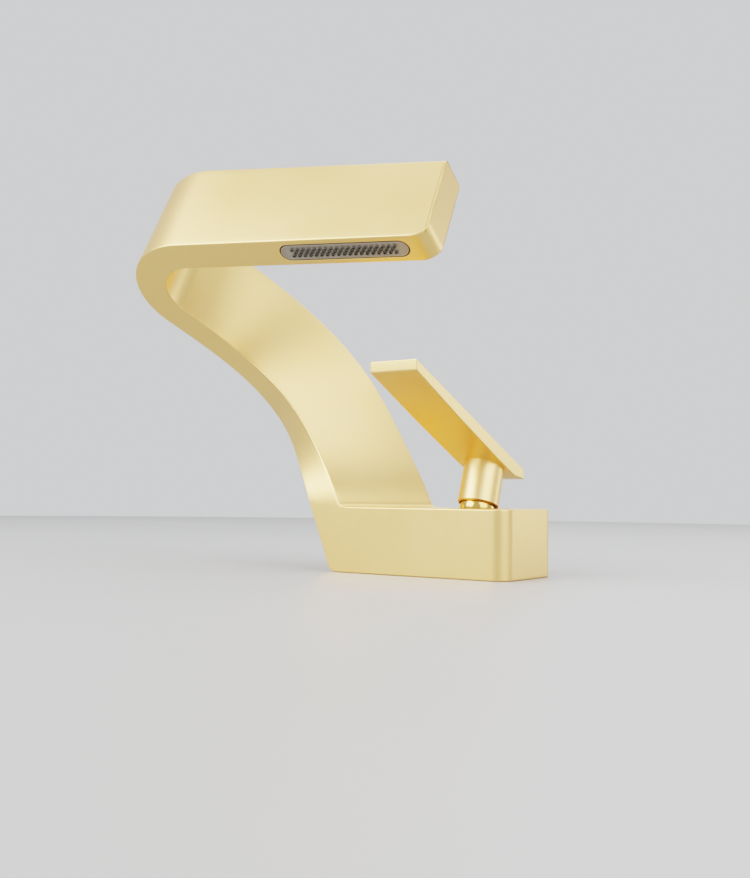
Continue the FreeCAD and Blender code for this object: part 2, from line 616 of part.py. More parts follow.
# the disc and its carrier slide along Y with the ball of the spindle's finger
SLIDE = "-Sizes.fingerLength * sin(Sizes.openTilt - Sizes.halfTravel)"
moving = cylinder("moving_blank", "Sizes.movingDiscRadius", "Sizes.discThickness", CART, SLIDE,
                  MOVING_FLOOR)
mixing = cylinder("mixing_hollow", "Sizes.mixRadius", "Sizes.mixDepth + 1", CART,
                  SLIDE + " + Sizes.mixOffset", MOVING_FLOOR + " - 1")
piece(cut("moving_cut", moving, mixing), "moving_disc")
carrier = cylinder("carrier_blank", "Sizes.carrierRadius", "Sizes.carrierHeight", CART, SLIDE,
                   CARRIER_FLOOR)
socket = cylinder("ball_socket", "Sizes.ballRadius + Sizes.ballClearance", "Sizes.carrierHeight + 2",
                  CART, SLIDE, CARRIER_FLOOR + " - 1")
piece(cut("carrier_cut", carrier, socket), "disc_carrier")

SHOULDER = NUT_SEAT
shell = cylinder("shell_blank", "Sizes.cartridgeRadius", SHOULDER + " - " + DISC_FLOOR, CART, "0",
                 DISC_FLOOR)
boss = cylinder("boss_blank", "Sizes.bossRadius", "Sizes.bossHeight", CART, "0", SHOULDER)
CHAMBER_HEIGHT = SHOULDER + " - Sizes.lidThickness - " + DISC_FLOOR
chamber = cylinder("chamber", "Sizes.chamberRadius", CHAMBER_HEIGHT + " + 1", CART, "0", DISC_FLOOR + " - 1")
neck_hole = cylinder("neck_hole", "Sizes.neckRadius + Sizes.slipClearance", "Sizes.boreDepth", CART, "0",
                     DISC_FLOOR)
SEAL_HEIGHT = "(%s + (Sizes.bossHeight - Sizes.lidThickness) / 2)" % SHOULDER
seal_groove = cylinder("seal_groove", "Sizes.neckRadius + Sizes.slipClearance + 2 * Sizes.ringCord",
                       "2 * Sizes.ringCord", CART, "0", SEAL_HEIGHT + " - Sizes.ringCord")
piece(cut("shell_cut", fuse("shell_body", [shell, boss]), chamber, neck_hole, seal_groove),
      "cartridge_housing")
neck_ring = doc.addObject("Part::Torus", "neck_ring")
bind(neck_ring, {"Radius1": "Sizes.neckRadius + Sizes.slipClearance + Sizes.ringCord",
                 "Radius2": "Sizes.ringCord"})
piece(place(neck_ring, CART, "0", SEAL_HEIGHT), "neck_seal")

cage = cylinder("cage_flange", "Sizes.cageRadius", "Sizes.cageThickness", CART, "0", CAGE_FLOOR)
neck = cylinder("cage_neck", "Sizes.neckRadius", "%s + Sizes.neckTop - %s" % (PIVOT, CAGE_FLOOR), CART,
                "0", CAGE_FLOOR)
RAIL_OFFSET = "(Sizes.cageRadius - Sizes.railInset - Sizes.railThickness / 2)"
rails = [centred_box("cage_rail%d" % i, "Sizes.railThickness", "Sizes.railLength",
                     "%s - %s" % (CAGE_FLOOR, CARRIER_FLOOR), "%s %s %s" % (CART, sign, RAIL_OFFSET), "0",
                     CARRIER_FLOOR)
         for i, sign in enumerate("+-")]
slit = centred_box("finger_slit", "Sizes.slitWidth", "Sizes.slitLength", "Sizes.boreDepth", CART, "0",
                   CAGE_FLOOR + " - 1")
flange_slit = centred_box("flange_slit", "Sizes.slitWidth", "Sizes.slitLength + 1", "Sizes.cageThickness + 1",
                          CART, "0", CAGE_FLOOR + " - 1")
yoke = centred_box("stem_yoke", "Sizes.yokeWidth", "Sizes.slitLength", "Sizes.boreDepth", CART, "0",
                   PIVOT + " - Sizes.stemBelow - 1")
pin_hole = cylinder("pin_hole", "Sizes.pinRadius", "Sizes.neckRadius * 2 + 2",
                    "%s - Sizes.neckRadius - 1" % CART, "0", PIVOT, "X")
piece(cut("cage_cut", fuse("cage_body", [cage, neck] + rails), slit, flange_slit, yoke, pin_hole),
      "cartridge_rotor")
piece(cylinder("pivot_pin", "Sizes.pinRadius", "Sizes.neckRadius * 2 - Sizes.pinInset * 2",
               "%s - Sizes.neckRadius + Sizes.pinInset" % CART, "0", PIVOT, "X"), "spindle_pin")

nut = new_body("gland_nut_body")
nut_blank = nut.newObject("PartDesign::AdditiveCylinder", "nut_blank")
bind(nut_blank, {"Radius": "Sizes.nutRadius - Sizes.slipClearance", "Height": "Sizes.nutThickness"})
nut_bore = nut.newObject("PartDesign::SubtractiveCylinder", "nut_bore")
bind(nut_bore, {"Radius": "Sizes.bossRadius + Sizes.slipClearance", "Height": "Sizes.nutThickness"})
notch = outline(nut, "notch_outline", "XZ_Plane",
                [("-Sizes.notchHalf", "Sizes.nutThickness - Sizes.notchDepth"),
                 ("Sizes.notchHalf", "Sizes.nutThickness - Sizes.notchDepth"),
                 ("Sizes.notchHalf", "Sizes.nutThickness + 1"),
                 ("-Sizes.notchHalf", "Sizes.nutThickness + 1")])
notch_cut = nut.newObject("PartDesign::Pocket", "notch_cut")
notch_cut.Profile = notch
notch_cut.Midplane = True
notch_cut.setExpression("Length", "Sizes.nutRadius * 3")
notch_ring = nut.newObject("PartDesign::PolarPattern", "notch_ring")
notch_ring.Originals = [notch_cut]
notch_ring.Axis = ([f for f in nut.Origin.OriginFeatures if f.Role == "Z_Axis"][0], [""])
notch_ring.Angle = 180
notch_ring.Occurrences = 3
nut.Tip = notch_ring
place(nut, CART, "0", NUT_SEAT)
piece(nut, "gland_nut")

# ---- dome collar: dished rim and the dome that the hub rocks over ---------------------

dome_ball = sphere("dome_ball", "Sizes.domeRadius", CART, "0", PIVOT)
dome_slice = cylinder("dome_slice", "Sizes.domeRadius + 1", "Sizes.domeTop + Sizes.dishDepth + 1", CART, "0",
                      PIVOT + " - Sizes.dishDepth - 1")
rim = cylinder("rim_blank", "Sizes.ringRadius - Sizes.slipClearance", "Sizes.ringDepth - Sizes.rimDrop",
               CART, "0", NUT_TOP)
dish = tube("dish_cut", "Sizes.dishRadius", "Sizes.domeRadius * Sizes.dishInner", "Sizes.ringDepth", CART,
            "0", "(%s - Sizes.dishDepth)" % PIVOT)
dome = fuse("collar_body", [cut("rim_cut", rim, dish), common("dome_zone", dome_ball, dome_slice)])
collar_bore = cylinder("collar_bore", "Sizes.domeBore", "Sizes.boreDepth", CART, "0", NUT_TOP + " - 1")
piece(cut("collar_cut", dome, collar_bore), "dome_collar")

# ---- handle: made round the pivot in its closed position, then tilted open ------------

handle_turn = Rotation(Vector(-1, 0, 0), size("openTilt"))


def on_pivot(obj, label):
    piece(obj, label, handle_turn, CART, "0", PIVOT)
    obj.setExpression("Placement.Rotation.Angle", "Sizes.openTilt")
    return obj


blade = new_body("blade_body")
SLOPE = "tan(Sizes.bladeSlope)"
LEAN = "tan(Sizes.openTilt)"


def blade_top(y):
    return "(Sizes.bladeTop - (%s) * %s)" % (y, SLOPE)


def blade_corner(y, thickness):
    # the ends are upright when the lever is open, so they lean by the open tilt when it is closed
    return ("(%s) + (%s) * %s" % (y, thickness, LEAN), "%s - (%s)" % (blade_top(y), thickness))


HUB = "Sizes.hubRadius"
KINK_Y = "-Sizes.bladeFront * Sizes.kinkPlace"
KINK_THICKNESS = "(Sizes.bladeEdge + Sizes.kinkShare * (Sizes.bladeRoot - Sizes.bladeEdge))"
blade_side = outline(blade, "blade_side", "YZ_Plane", [
    ("-Sizes.bladeFront", blade_top("-Sizes.bladeFront")),
    blade_corner("-Sizes.bladeFront", "Sizes.bladeEdge"),
    (KINK_Y, blade_top(KINK_Y) + " - " + KINK_THICKNESS),
    ("-" + HUB, blade_top("-" + HUB) + " - Sizes.bladeRoot"),
    (HUB, blade_top(HUB) + " - Sizes.bladeRoot"),
    blade_corner("Sizes.bladeBack", "Sizes.bladeEdge"),
    ("Sizes.bladeBack", blade_top("Sizes.bladeBack")),
])
pad(blade, "blade_pad", blade_side, "Sizes.bladeWidth", True)
on_pivot(blade, "handle_blade")

HUB_FOOT = "(Sizes.hubGap - Sizes.pivotRise)"
hub_blank = cylinder("hub_blank", HUB, "Sizes.bladeTop - %s - Sizes.bladeRoot / 2" % HUB_FOOT, z=HUB_FOOT)
skirt = cylinder("skirt_hollow", "Sizes.domeRadius + Sizes.skirtClearance",
                 "Sizes.skirtTop - %s + 1" % HUB_FOOT, z=HUB_FOOT + " - 1")
stem_hole = cylinder("stem_hole", "Sizes.stemRadius + Sizes.slipClearance", "Sizes.stemTop + 0.5")
grub_hole = cylinder("grub_hole", "Sizes.screwRadius", "Sizes.hubRadius", z="Sizes.screwHeight", along="Y")
PLUG_Y = "Sizes.stemRadius + Sizes.screwLength + Sizes.plugGap"
plug_seat = cylinder("plug_seat", "Sizes.plugRadius", "Sizes.hubRadius", y=PLUG_Y, z="Sizes.screwHeight",
                     along="Y")
blade_print = new_body("blade_print")
print_side = outline(blade_print, "print_side", "YZ_Plane", [
    ("-" + HUB + " * 1.5", blade_top("-" + HUB + " * 1.5") + " - Sizes.bladeRoot"),
    (HUB + " * 1.5", blade_top(HUB + " * 1.5") + " - Sizes.bladeRoot"),
    (HUB + " * 1.5", blade_top(HUB + " * 1.5")),
    ("-" + HUB + " * 1.5", blade_top("-" + HUB + " * 1.5")),
])
pad(blade_print, "print_pad", print_side, "Sizes.bladeWidth", True)
on_pivot(cut("hub_cut", hub_blank, skirt, stem_hole, grub_hole, plug_seat, blade_print), "handle_hub")

grub = cylinder("grub_blank", "Sizes.screwRadius - Sizes.slipClearance", "Sizes.screwLength",
                y="Sizes.stemRadius", z="Sizes.screwHeight", along="Y")
hexagon = doc.addObject("Part::Prism", "grub_hexagon")
hexagon.Polygon = 6
hexagon.Placement = Placement(Vector(), Rotation(AXES["Z"], AXES["Y"]))
bind(hexagon, {"Circumradius": "Sizes.screwSocket / cos(30)", "Height": "Sizes.screwLength"})
place(hexagon, "0", "Sizes.stemRadius + Sizes.screwLength - Sizes.socketDepth", "Sizes.screwHeight")
on_pivot(cut("grub_cut", grub, hexagon), "hub_screw")
plug = cylinder("plug_blank", "Sizes.plugRadius - Sizes.slipClearance", "Sizes.hubRadius", y=PLUG_Y,
                z="Sizes.screwHeight", along="Y")
plug_skin = cylinder("plug_skin", HUB, "Sizes.bladeTop")
on_pivot(common("plug_trim", plug, plug_skin), "hub_screw_plug")

stem = cylinder("stem", "Sizes.stemRadius", "Sizes.stemTop + Sizes.stemBelow", z="-Sizes.stemBelow")
finger = cylinder("finger", "Sizes.fingerRadius", "Sizes.fingerLength")
finger.Placement = Placement(Vector(), Rotation(Vector(1, 0, 0), 180 + size("halfTravel")))
finger.setExpression("Placement.Rotation.Angle", "180 + Sizes.halfTravel")
ball = sphere("ball", "Sizes.ballRadius", "0", "Sizes.fingerLength * sin(Sizes.halfTravel)",
              "-Sizes.fingerLength * cos(Sizes.halfTravel)")
pin_bore = cylinder("pin_bore", "Sizes.pinRadius + Sizes.slipClearance", "Sizes.stemRadius * 4",
                    x="-Sizes.stemRadius * 2", along="X")
on_pivot(cut("spindle_cut", fuse("spindle_body", [stem, finger, ball]), pin_bore), "cartridge_spindle")

# ---- under the deck -------------------------------------------------------------------

piece(tube("base_ring", "Sizes.gasketOuter", "Sizes.gasketInner", "Sizes.gasketHeight"), "base_gasket")
piece(cylinder("stud", "Sizes.studRadius - Sizes.slipClearance / 2", "Sizes.studLength", "Sizes.studX", "0",
               "Sizes.studSink - Sizes.studLength"), "mounting_stud")


def horseshoe(name, label, thickness, top):
    floor = "%s - %s" % (top, thickness)
    disc = cylinder(name + "_disc", "Sizes.clampRadius", thickness, z=floor)
    hole = cylinder(name + "_stud_hole", "Sizes.studRadius + Sizes.studClearance", thickness + " + 2",
                    "Sizes.studX", "0", floor + " - 1")
    throat = box(name + "_throat", "Sizes.clampRadius * 2", "2 * Sizes.clampThroat", thickness + " + 2",
                 "-Sizes.clampLeft", "-Sizes.clampThroat", floor + " - 1")
    return piece(cut(name + "_cut", disc, hole, throat), label)


horseshoe("rubber", "rubber_clamp_washer", "Sizes.rubberThickness", "-Sizes.deckThickness")
horseshoe("steel", "steel_clamp_washer", "Sizes.steelThickness",
          "-Sizes.deckThickness - Sizes.rubberThickness")

stud_nut = doc.addObject("Part::Prism", "stud_nut_blank")
stud_nut.Polygon = 6
bind(stud_nut, {"Circumradius": "Sizes.nutFlats / cos(30)", "Height": "Sizes.nutLength"})
NUT_FLOOR = "-Sizes.deckThickness - Sizes.rubberThickness - Sizes.steelThickness - Sizes.nutLength"
place(stud_nut, "Sizes.studX", "0", NUT_FLOOR)
nut_hole = cylinder("stud_nut_hole", "Sizes.studRadius", "Sizes.nutLength + 2", "Sizes.studX", "0",
                    NUT_FLOOR + " - 1")
piece(cut("stud_nut_cut", stud_nut, nut_hole), "stud_nut")

# ---- check and write ------------------------------------------------------------------

doc.recompute()
for obj in doc.Objects:
    if "Invalid" in obj.State or "Error" in obj.State:
        raise RuntimeError("%s failed: %s" % (obj.Name, obj.State))
os.makedirs("parts", exist_ok=True)
for obj in pieces:
    shape = obj.Shape
    if shape.isNull() or not shape.isValid() or not shape.Solids:
        raise RuntimeError("%s has no valid solid" % obj.Label)
    shape.exportStep("parts/%s.step" % obj.Label)
    print("%-22s %d solid(s) %10.1f mm3" % (obj.Label, len(shape.Solids), shape.Volume))
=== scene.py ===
import math

import bmesh
import bpy
from mathutils import Matrix, Vector


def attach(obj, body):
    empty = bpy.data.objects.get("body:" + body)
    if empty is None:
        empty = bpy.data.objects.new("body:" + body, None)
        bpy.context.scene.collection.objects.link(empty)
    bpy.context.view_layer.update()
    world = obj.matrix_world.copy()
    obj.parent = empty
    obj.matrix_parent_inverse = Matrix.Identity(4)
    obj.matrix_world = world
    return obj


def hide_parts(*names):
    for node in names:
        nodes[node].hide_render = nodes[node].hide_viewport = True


# Single-lever basin mixer in satin gold. Lengths in the dictionaries are millimetres, angles degrees.

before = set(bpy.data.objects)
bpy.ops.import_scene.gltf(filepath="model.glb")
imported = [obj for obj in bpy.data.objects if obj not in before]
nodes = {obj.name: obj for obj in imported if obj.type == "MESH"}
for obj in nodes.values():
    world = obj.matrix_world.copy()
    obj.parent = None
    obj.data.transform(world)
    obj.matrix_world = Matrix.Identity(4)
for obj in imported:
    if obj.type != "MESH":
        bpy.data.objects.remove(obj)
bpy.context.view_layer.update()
millimetre = 0.001
mergeDistance = 2e-6                               # corners closer than this are one corner, in metres
upAxis = Vector((0, 0, 1))
print("frame loaded:", len(nodes), "parts")


# making trees of nodes

class Value:                                       # a socket that can stand in a sum
    def __init__(self, maker, socket):
        self.maker = maker
        self.socket = socket

    def combine(self, operation, first, second):
        return self.maker.node("ShaderNodeMath", {"operation": operation}, {0: first, 1: second})[0]

    def __add__(self, other):
        return self.combine("ADD", self, other)

    def __radd__(self, other):
        return self.combine("ADD", other, self)

    def __sub__(self, other):
        return self.combine("SUBTRACT", self, other)

    def __rsub__(self, other):
        return self.combine("SUBTRACT", other, self)

    def __mul__(self, other):
        return self.combine("MULTIPLY", self, other)

    def __rmul__(self, other):
        return self.combine("MULTIPLY", other, self)

    def __truediv__(self, other):
        return self.combine("DIVIDE", self, other)

    def __rtruediv__(self, other):
        return self.combine("DIVIDE", other, self)


class Maker:                                       # adds nodes to one tree
    def __init__(self, tree):
        self.tree = tree
        tree.nodes.clear()

    def node(self, kind, settings=None, inputs=None):
        made = self.tree.nodes.new(kind)
        for key, value in (settings or {}).items():
            setattr(made, key, value)
        for key, value in (inputs or {}).items():
            socket = made.inputs[key]
            for item in value if isinstance(value, list) else [value]:
                if isinstance(item, Value):
                    self.tree.links.new(item.socket, socket)
                else:
                    socket.default_value = item
        return [Value(self, output) for output in made.outputs]

    def mixColour(self, factor, first, second):    # sockets 6 and 7 are the Mix node's colours
        return self.node("ShaderNodeMix", {"data_type": "RGBA"}, {0: factor, 6: first, 7: second})[2]

    def vector(self, operation, first, second):
        return self.node("ShaderNodeVectorMath", {"operation": operation}, {0: first, 1: second})[0]

    def scaled(self, vector, factor):
        return self.node("ShaderNodeVectorMath", {"operation": "SCALE"}, {0: vector, "Scale": factor})[0]


# materials

def rgb(red, green, blue):
    return (red, green, blue, 1)


def newMaterial(name, build):
    material = bpy.data.materials.new(name)
    material.use_nodes = True
    maker = Maker(material.node_tree)
    place = maker.node("ShaderNodeTexCoord")[3]    # object coordinates
    shader = build(maker, place)
    maker.node("ShaderNodeOutputMaterial", None, {"Surface": shader})
    return material


def noise(maker, place, scale, detail=2.0, stretch=(1, 1, 1)):
    stretched = maker.node("ShaderNodeMapping", None, {"Vector": place, "Scale": stretch})[0]
    return maker.node("ShaderNodeTexNoise", None,
                      {"Vector": stretched, "Scale": scale, "Detail": detail, "Roughness": 0.6})[0]


def bump(maker, height, strength, distance):
    return maker.node("ShaderNodeBump", None,
                      {"Height": height, "Strength": strength, "Distance": distance * millimetre})[0]


def metal(look):
    def build(maker, place):
        blast = noise(maker, place, look["grain"], 3.0)                       # fine blasted grain
        strokes = noise(maker, place, look["strokes"], 2.0, look["direction"])   # faint brushing
        cloud = noise(maker, place, look["cloud"], 3.0)                       # slow change from hand finishing
        tone = cloud * look["cloudTone"] + blast * look["grainTone"] + strokes * look["strokeTone"]
        colour = maker.mixColour(tone, look["dark"], look["light"])
        rough = (look["roughness"] + (blast - 0.5) * look["roughSpread"]
                 + (cloud - 0.5) * look["roughSpread"] * look["cloudRough"])
        relief = blast * look["grainRelief"] + strokes * look["strokeRelief"]
        normal = bump(maker, relief, look["bump"], look["bumpDepth"])
        return maker.node("ShaderNodeBsdfPrincipled", None, {
            "Base Color": colour, "Metallic": look["metallic"], "Roughness": rough, "Normal": normal,
            "Coat Weight": look["coat"], "Coat Roughness": look["coatRoughness"]})[0]
    return build


satinGold = {
    "dark": rgb(0.80, 0.505, 0.165), "light": rgb(0.93, 0.66, 0.31),
    "roughness": 0.37, "roughSpread": 0.10, "metallic": 1.0,
    "grain": 2600.0, "strokes": 900.0, "direction": (1, 1, 0.12), "cloud": 24.0,
    "cloudTone": 0.5, "grainTone": 0.3, "strokeTone": 0.2, "cloudRough": 0.7,
    "grainRelief": 0.7, "strokeRelief": 0.3,
    "bump": 0.16, "bumpDepth": 0.05, "coat": 0.12, "coatRoughness": 0.45,
}
polishedGold = dict(satinGold, dark=rgb(0.62, 0.38, 0.10), light=rgb(0.74, 0.49, 0.17), roughness=0.16,
                    roughSpread=0.05, bump=0.05, coat=0.25, coatRoughness=0.1)
rawBrass = dict(satinGold, dark=rgb(0.42, 0.27, 0.09), light=rgb(0.66, 0.46, 0.19), roughness=0.34,
                roughSpread=0.2, cloud=60.0, bump=0.22, coat=0.0)
brushedSteel = dict(satinGold, dark=rgb(0.36, 0.37, 0.38), light=rgb(0.60, 0.61, 0.62), roughness=0.32,
                    roughSpread=0.2, cloud=80.0, bump=0.2, coat=0.0)


def plastic(look):
    def build(maker, place):
        grain = noise(maker, place, look["grain"], 4.0)
        cloud = noise(maker, place, look["cloud"], 2.0)
        tone = cloud * look["cloudTone"] + grain * look["grainTone"]
        colour = maker.mixColour(tone, look["dark"], look["light"])
        rough = look["roughness"] + (grain - 0.5) * look["roughSpread"]
        normal = bump(maker, grain, look["bump"], look["bumpDepth"])
        return maker.node("ShaderNodeBsdfPrincipled", None, {
            "Base Color": colour, "Metallic": look["metallic"], "Roughness": rough, "Normal": normal,
            "Coat Weight": look["coat"], "Coat Roughness": look["coatRoughness"]})[0]
    return build


outletGrey = {"dark": rgb(0.27, 0.24, 0.205), "light": rgb(0.40, 0.36, 0.31), "roughness": 0.42,
              "roughSpread": 0.2, "metallic": 0.55, "grain": 1800.0, "cloud": 90.0,
              "cloudTone": 0.6, "grainTone": 0.4,
              "bump": 0.18, "bumpDepth": 0.05, "coat": 0.2, "coatRoughness": 0.3}
cartridgePlastic = dict(outletGrey, dark=rgb(0.55, 0.56, 0.56), light=rgb(0.74, 0.74, 0.72), roughness=0.45,
                        roughSpread=0.12, metallic=0.0, grain=900.0, cloud=50.0, bump=0.12, coat=0.1)
ceramic = dict(cartridgePlastic, dark=rgb(0.80, 0.78, 0.72), light=rgb(0.90, 0.89, 0.85), roughness=0.14,
               bump=0.03, coat=0.5)
rubber = dict(outletGrey, dark=rgb(0.010, 0.010, 0.011), light=rgb(0.028, 0.027, 0.026), roughness=0.72,
              metallic=0.0, grain=1400.0, cloud=70.0, bump=0.3, bumpDepth=0.08, coat=0.0)
siliconeGrey = dict(rubber, dark=rgb(0.10, 0.093, 0.083), light=rgb(0.19, 0.178, 0.16), roughness=0.5,
                    bump=0.1)

finishes = {
    "satin_gold": newMaterial("satinGold", metal(satinGold)),
    "polished_gold": newMaterial("polishedGold", metal(polishedGold)),
    "raw_brass": newMaterial("rawBrass", metal(rawBrass)),
    "steel": newMaterial("brushedSteel", metal(brushedSteel)),
    "outlet_grey": newMaterial("outletGrey", plastic(outletGrey)),
    "cartridge_plastic": newMaterial("cartridgePlastic", plastic(cartridgePlastic)),
    "ceramic": newMaterial("ceramicDiscs", plastic(ceramic)),
    "rubber": newMaterial("blackRubber", plastic(rubber)),
}
siliconeFinish = newMaterial("nozzleSilicone", plastic(siliconeGrey))
print("materials made:", len(finishes) + 1)


# making meshes

def addObject(name, mesh):
    made = bpy.data.objects.new(name, mesh)
    bpy.context.scene.collection.objects.link(made)
    return made


def fromPolygons(name, points, faces):
    mesh = bpy.data.meshes.new(name)
    mesh.from_pydata([Vector(point) * millimetre for point in points], [], faces)
    return addObject(name, mesh)


def tidyMesh(made, merge=mergeDistance):           # joins doubled corners and turns every face outwards
    work = bmesh.new()
    work.from_mesh(made.data)
    bmesh.ops.remove_doubles(work, verts=work.verts, dist=merge)
    bmesh.ops.recalc_face_normals(work, faces=work.faces)
    work.to_mesh(made.data)
    work.free()
    return made


def settle(made):                                  # turns live modifiers into plain mesh
    seen = bpy.context.evaluated_depsgraph_get()
    mesh = bpy.data.meshes.new_from_object(made.evaluated_get(seen))
    made.modifiers.clear()
    made.data = mesh
    return made


def carve(made, tool, operation="DIFFERENCE"):
    modifier = made.modifiers.new("carve", "BOOLEAN")
    modifier.operation = operation
    modifier.solver = "EXACT"
    modifier.object = tool
    settle(made)
    bpy.data.objects.remove(tool)
    return made


def softenEdges(made, width, segments=3, angle=30):
    modifier = made.modifiers.new("edges", "BEVEL")
    modifier.width = width * millimetre
    modifier.segments = segments
    modifier.limit_method = "ANGLE"
    modifier.angle_limit = math.radians(angle)
    modifier.miter_outer = "MITER_ARC"
    modifier.use_clamp_overlap = False
    modifier.harden_normals = False
    return settle(made)


def join(name, parts):
    work = bmesh.new()
    for part in parts:
        work.from_mesh(part.data)
        bpy.data.objects.remove(part)
    mesh = bpy.data.meshes.new(name)
    work.to_mesh(mesh)
    work.free()
    return addObject(name, mesh)


def finishPiece(made, name, body, material, replaced=(), smooth=35):
    made.name = name
    made.data.name = name
    made.data.materials.clear()
    made.data.materials.append(material)
    for polygon in made.data.polygons:
        polygon.use_smooth = True
        polygon.material_index = 0
    made.data.set_sharp_from_angle(angle=math.radians(smooth))
    weighted = made.modifiers.new("flatFaces", "WEIGHTED_NORMAL")
    weighted.keep_sharp = True
    weighted.weight = 80
    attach(made, body)
    if replaced:
        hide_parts(*replaced)
    return made


def roundCorners(corners, radius, steps=4):
    made = []
    for i, corner in enumerate(corners):
        here = Vector(corner)
        size = radius[i] if isinstance(radius, (list, tuple)) else radius
        before = Vector(corners[i - 1]) - here
        after = Vector(corners[(i + 1) % len(corners)]) - here
        half = before.angle(after) / 2
        if size <= 0 or half > math.radians(88):
            made.append(here)
            continue
        # a round takes less than half of either side
        reach = min(size / math.tan(half), 0.48 * before.length, 0.48 * after.length)
        size = reach * math.tan(half)
        centre = here + (before.normalized() + after.normalized()).normalized() * (size / math.sin(half))
        first = here + before.normalized() * reach - centre
        last = here + after.normalized() * reach - centre
        sweep = first.angle_signed(last)
        for step in range(steps + 1):
            turned = Matrix.Rotation(-sweep * step / steps, 2) @ first
            made.append(centre + turned)
    return made


def arc(centre, radius, start, end, steps):
    return [(centre[0] + radius * math.cos(math.radians(start + (end - start) * i / steps)),
             centre[1] + radius * math.sin(math.radians(start + (end - start) * i / steps)))
            for i in range(steps + 1)]


def lathe(name, profile, centre=(0, 0, 0), segments=96, loop=False):
    # profile is (radius, height); a loop makes a ring, otherwise both ends are closed flat
    points = []
    for i in range(segments):
        angle = 2 * math.pi * i / segments
        for radius, height in profile:
            points.append((centre[0] + radius * math.cos(angle), centre[1] + radius * math.sin(angle),
                           centre[2] + height))
    count = len(profile)
    faces = []
    for i in range(segments):
        here = i * count
        there = (i + 1) % segments * count
        for j in range(count if loop else count - 1):
            k = (j + 1) % count
            faces.append((here + j, there + j, there + k, here + k))
    if not loop:
        faces.append([i * count for i in range(segments)])
        faces.append([i * count + count - 1 for i in range(segments)])
    return tidyMesh(fromPolygons(name, points, faces))


def extrude(name, outline, low, high, place):
    count = len(outline)
    points = [place(u, v, w) for w in (low, high) for u, v in outline]
    faces = [tuple(range(count)), tuple(range(count, 2 * count))]
    faces += [(i, (i + 1) % count, count + (i + 1) % count, count + i) for i in range(count)]
    return tidyMesh(fromPolygons(name, points, faces))


def softenedNode(node, width, segments=2):         # a merged copy of a part, with its edges rounded
    made = addObject(node + "Copy", nodes[node].data.copy())
    work = bmesh.new()
    work.from_mesh(made.data)
    bmesh.ops.remove_doubles(work, verts=work.verts, dist=mergeDistance)
    bmesh.ops.dissolve_limit(work, angle_limit=math.radians(1), verts=work.verts, edges=work.edges)
    work.to_mesh(made.data)
    work.free()
    return softenEdges(made, width, segments)


# trees that repeat a shape or lay a section along a path

def newTree(name, sockets):
    tree = bpy.data.node_groups.new(name, "GeometryNodeTree")
    maker = Maker(tree)
    tree.interface.new_socket("Geometry", in_out="OUTPUT", socket_type="NodeSocketGeometry")
    names = {}
    sockets = [("Geometry", "Geometry")] + sockets
    for label, kind in sockets:
        made = tree.interface.new_socket(label, in_out="INPUT", socket_type="NodeSocket" + kind)
        names[label] = made.identifier
    outputs = maker.node("NodeGroupInput")
    inputs = {label: outputs[i] for i, (label, kind) in enumerate(sockets)}
    return tree, maker, inputs, names


def endTree(maker, geometry, material):
    real = maker.node("GeometryNodeRealizeInstances", None, {"Geometry": geometry})[0]
    painted = maker.node("GeometryNodeSetMaterial", None, {"Geometry": real, "Material": material})[0]
    maker.node("NodeGroupOutput", None, {"Geometry": painted})


def grow(made, treeAndNames, values):              # runs a tree on an object and keeps the plain result
    tree, names = treeAndNames
    modifier = made.modifiers.new(tree.name, "NODES")
    modifier.node_group = tree
    for label, value in values.items():
        modifier[names[label]] = value
    made.update_tag()
    return settle(made)


def sectionTree():
    # lays a section on each station of a path; a station carries the section's two side vectors
    tree, maker, given, names = newTree("layBand", [("Section", "Object"), ("Material", "Material")])
    sectionShape = maker.node("GeometryNodeObjectInfo", None, {"Object": given["Section"]})[4]
    stationCount = maker.node("GeometryNodeAttributeDomainSize", None, {"Geometry": given["Geometry"]})[0]
    sideCount = maker.node("GeometryNodeAttributeDomainSize", None, {"Geometry": sectionShape})[0]
    columns = sideCount + 1.0
    grid = maker.node("GeometryNodeMeshGrid", None, {
        "Size X": 1.0, "Size Y": 1.0, "Vertices X": stationCount, "Vertices Y": columns})[0]
    index = maker.node("GeometryNodeInputIndex")[0]
    station = maker.node("ShaderNodeMath", {"operation": "FLOOR"}, {0: (index + 0.5) / columns})[0]
    side = maker.node("ShaderNodeMath", {"operation": "MODULO"},
                      {0: index - station * columns, 1: sideCount})[0]

    def sample(geometry, value, at):
        return maker.node("GeometryNodeSampleIndex", {"data_type": "FLOAT_VECTOR"},
                          {"Geometry": geometry, "Value": value, "Index": at})[0]

    def named(label):
        return maker.node("GeometryNodeInputNamedAttribute", {"data_type": "FLOAT_VECTOR"}, {"Name": label})[0]

    position = maker.node("GeometryNodeInputPosition")[0]
    corner = maker.node("ShaderNodeSeparateXYZ", None, {"Vector": sample(sectionShape, position, side)})
    spot = sample(given["Geometry"], position, station)
    spot = maker.vector("ADD", spot, maker.scaled(sample(given["Geometry"], named("through"), station), corner[0]))
    spot = maker.vector("ADD", spot, maker.scaled(sample(given["Geometry"], named("width"), station), corner[1]))
    laid = maker.node("GeometryNodeSetPosition", None, {"Geometry": grid, "Position": spot})[0]
    merged = maker.node("GeometryNodeMergeByDistance", None, {"Geometry": laid, "Distance": 1e-6})[0]
    endTree(maker, merged, given["Material"])
    return tree, names


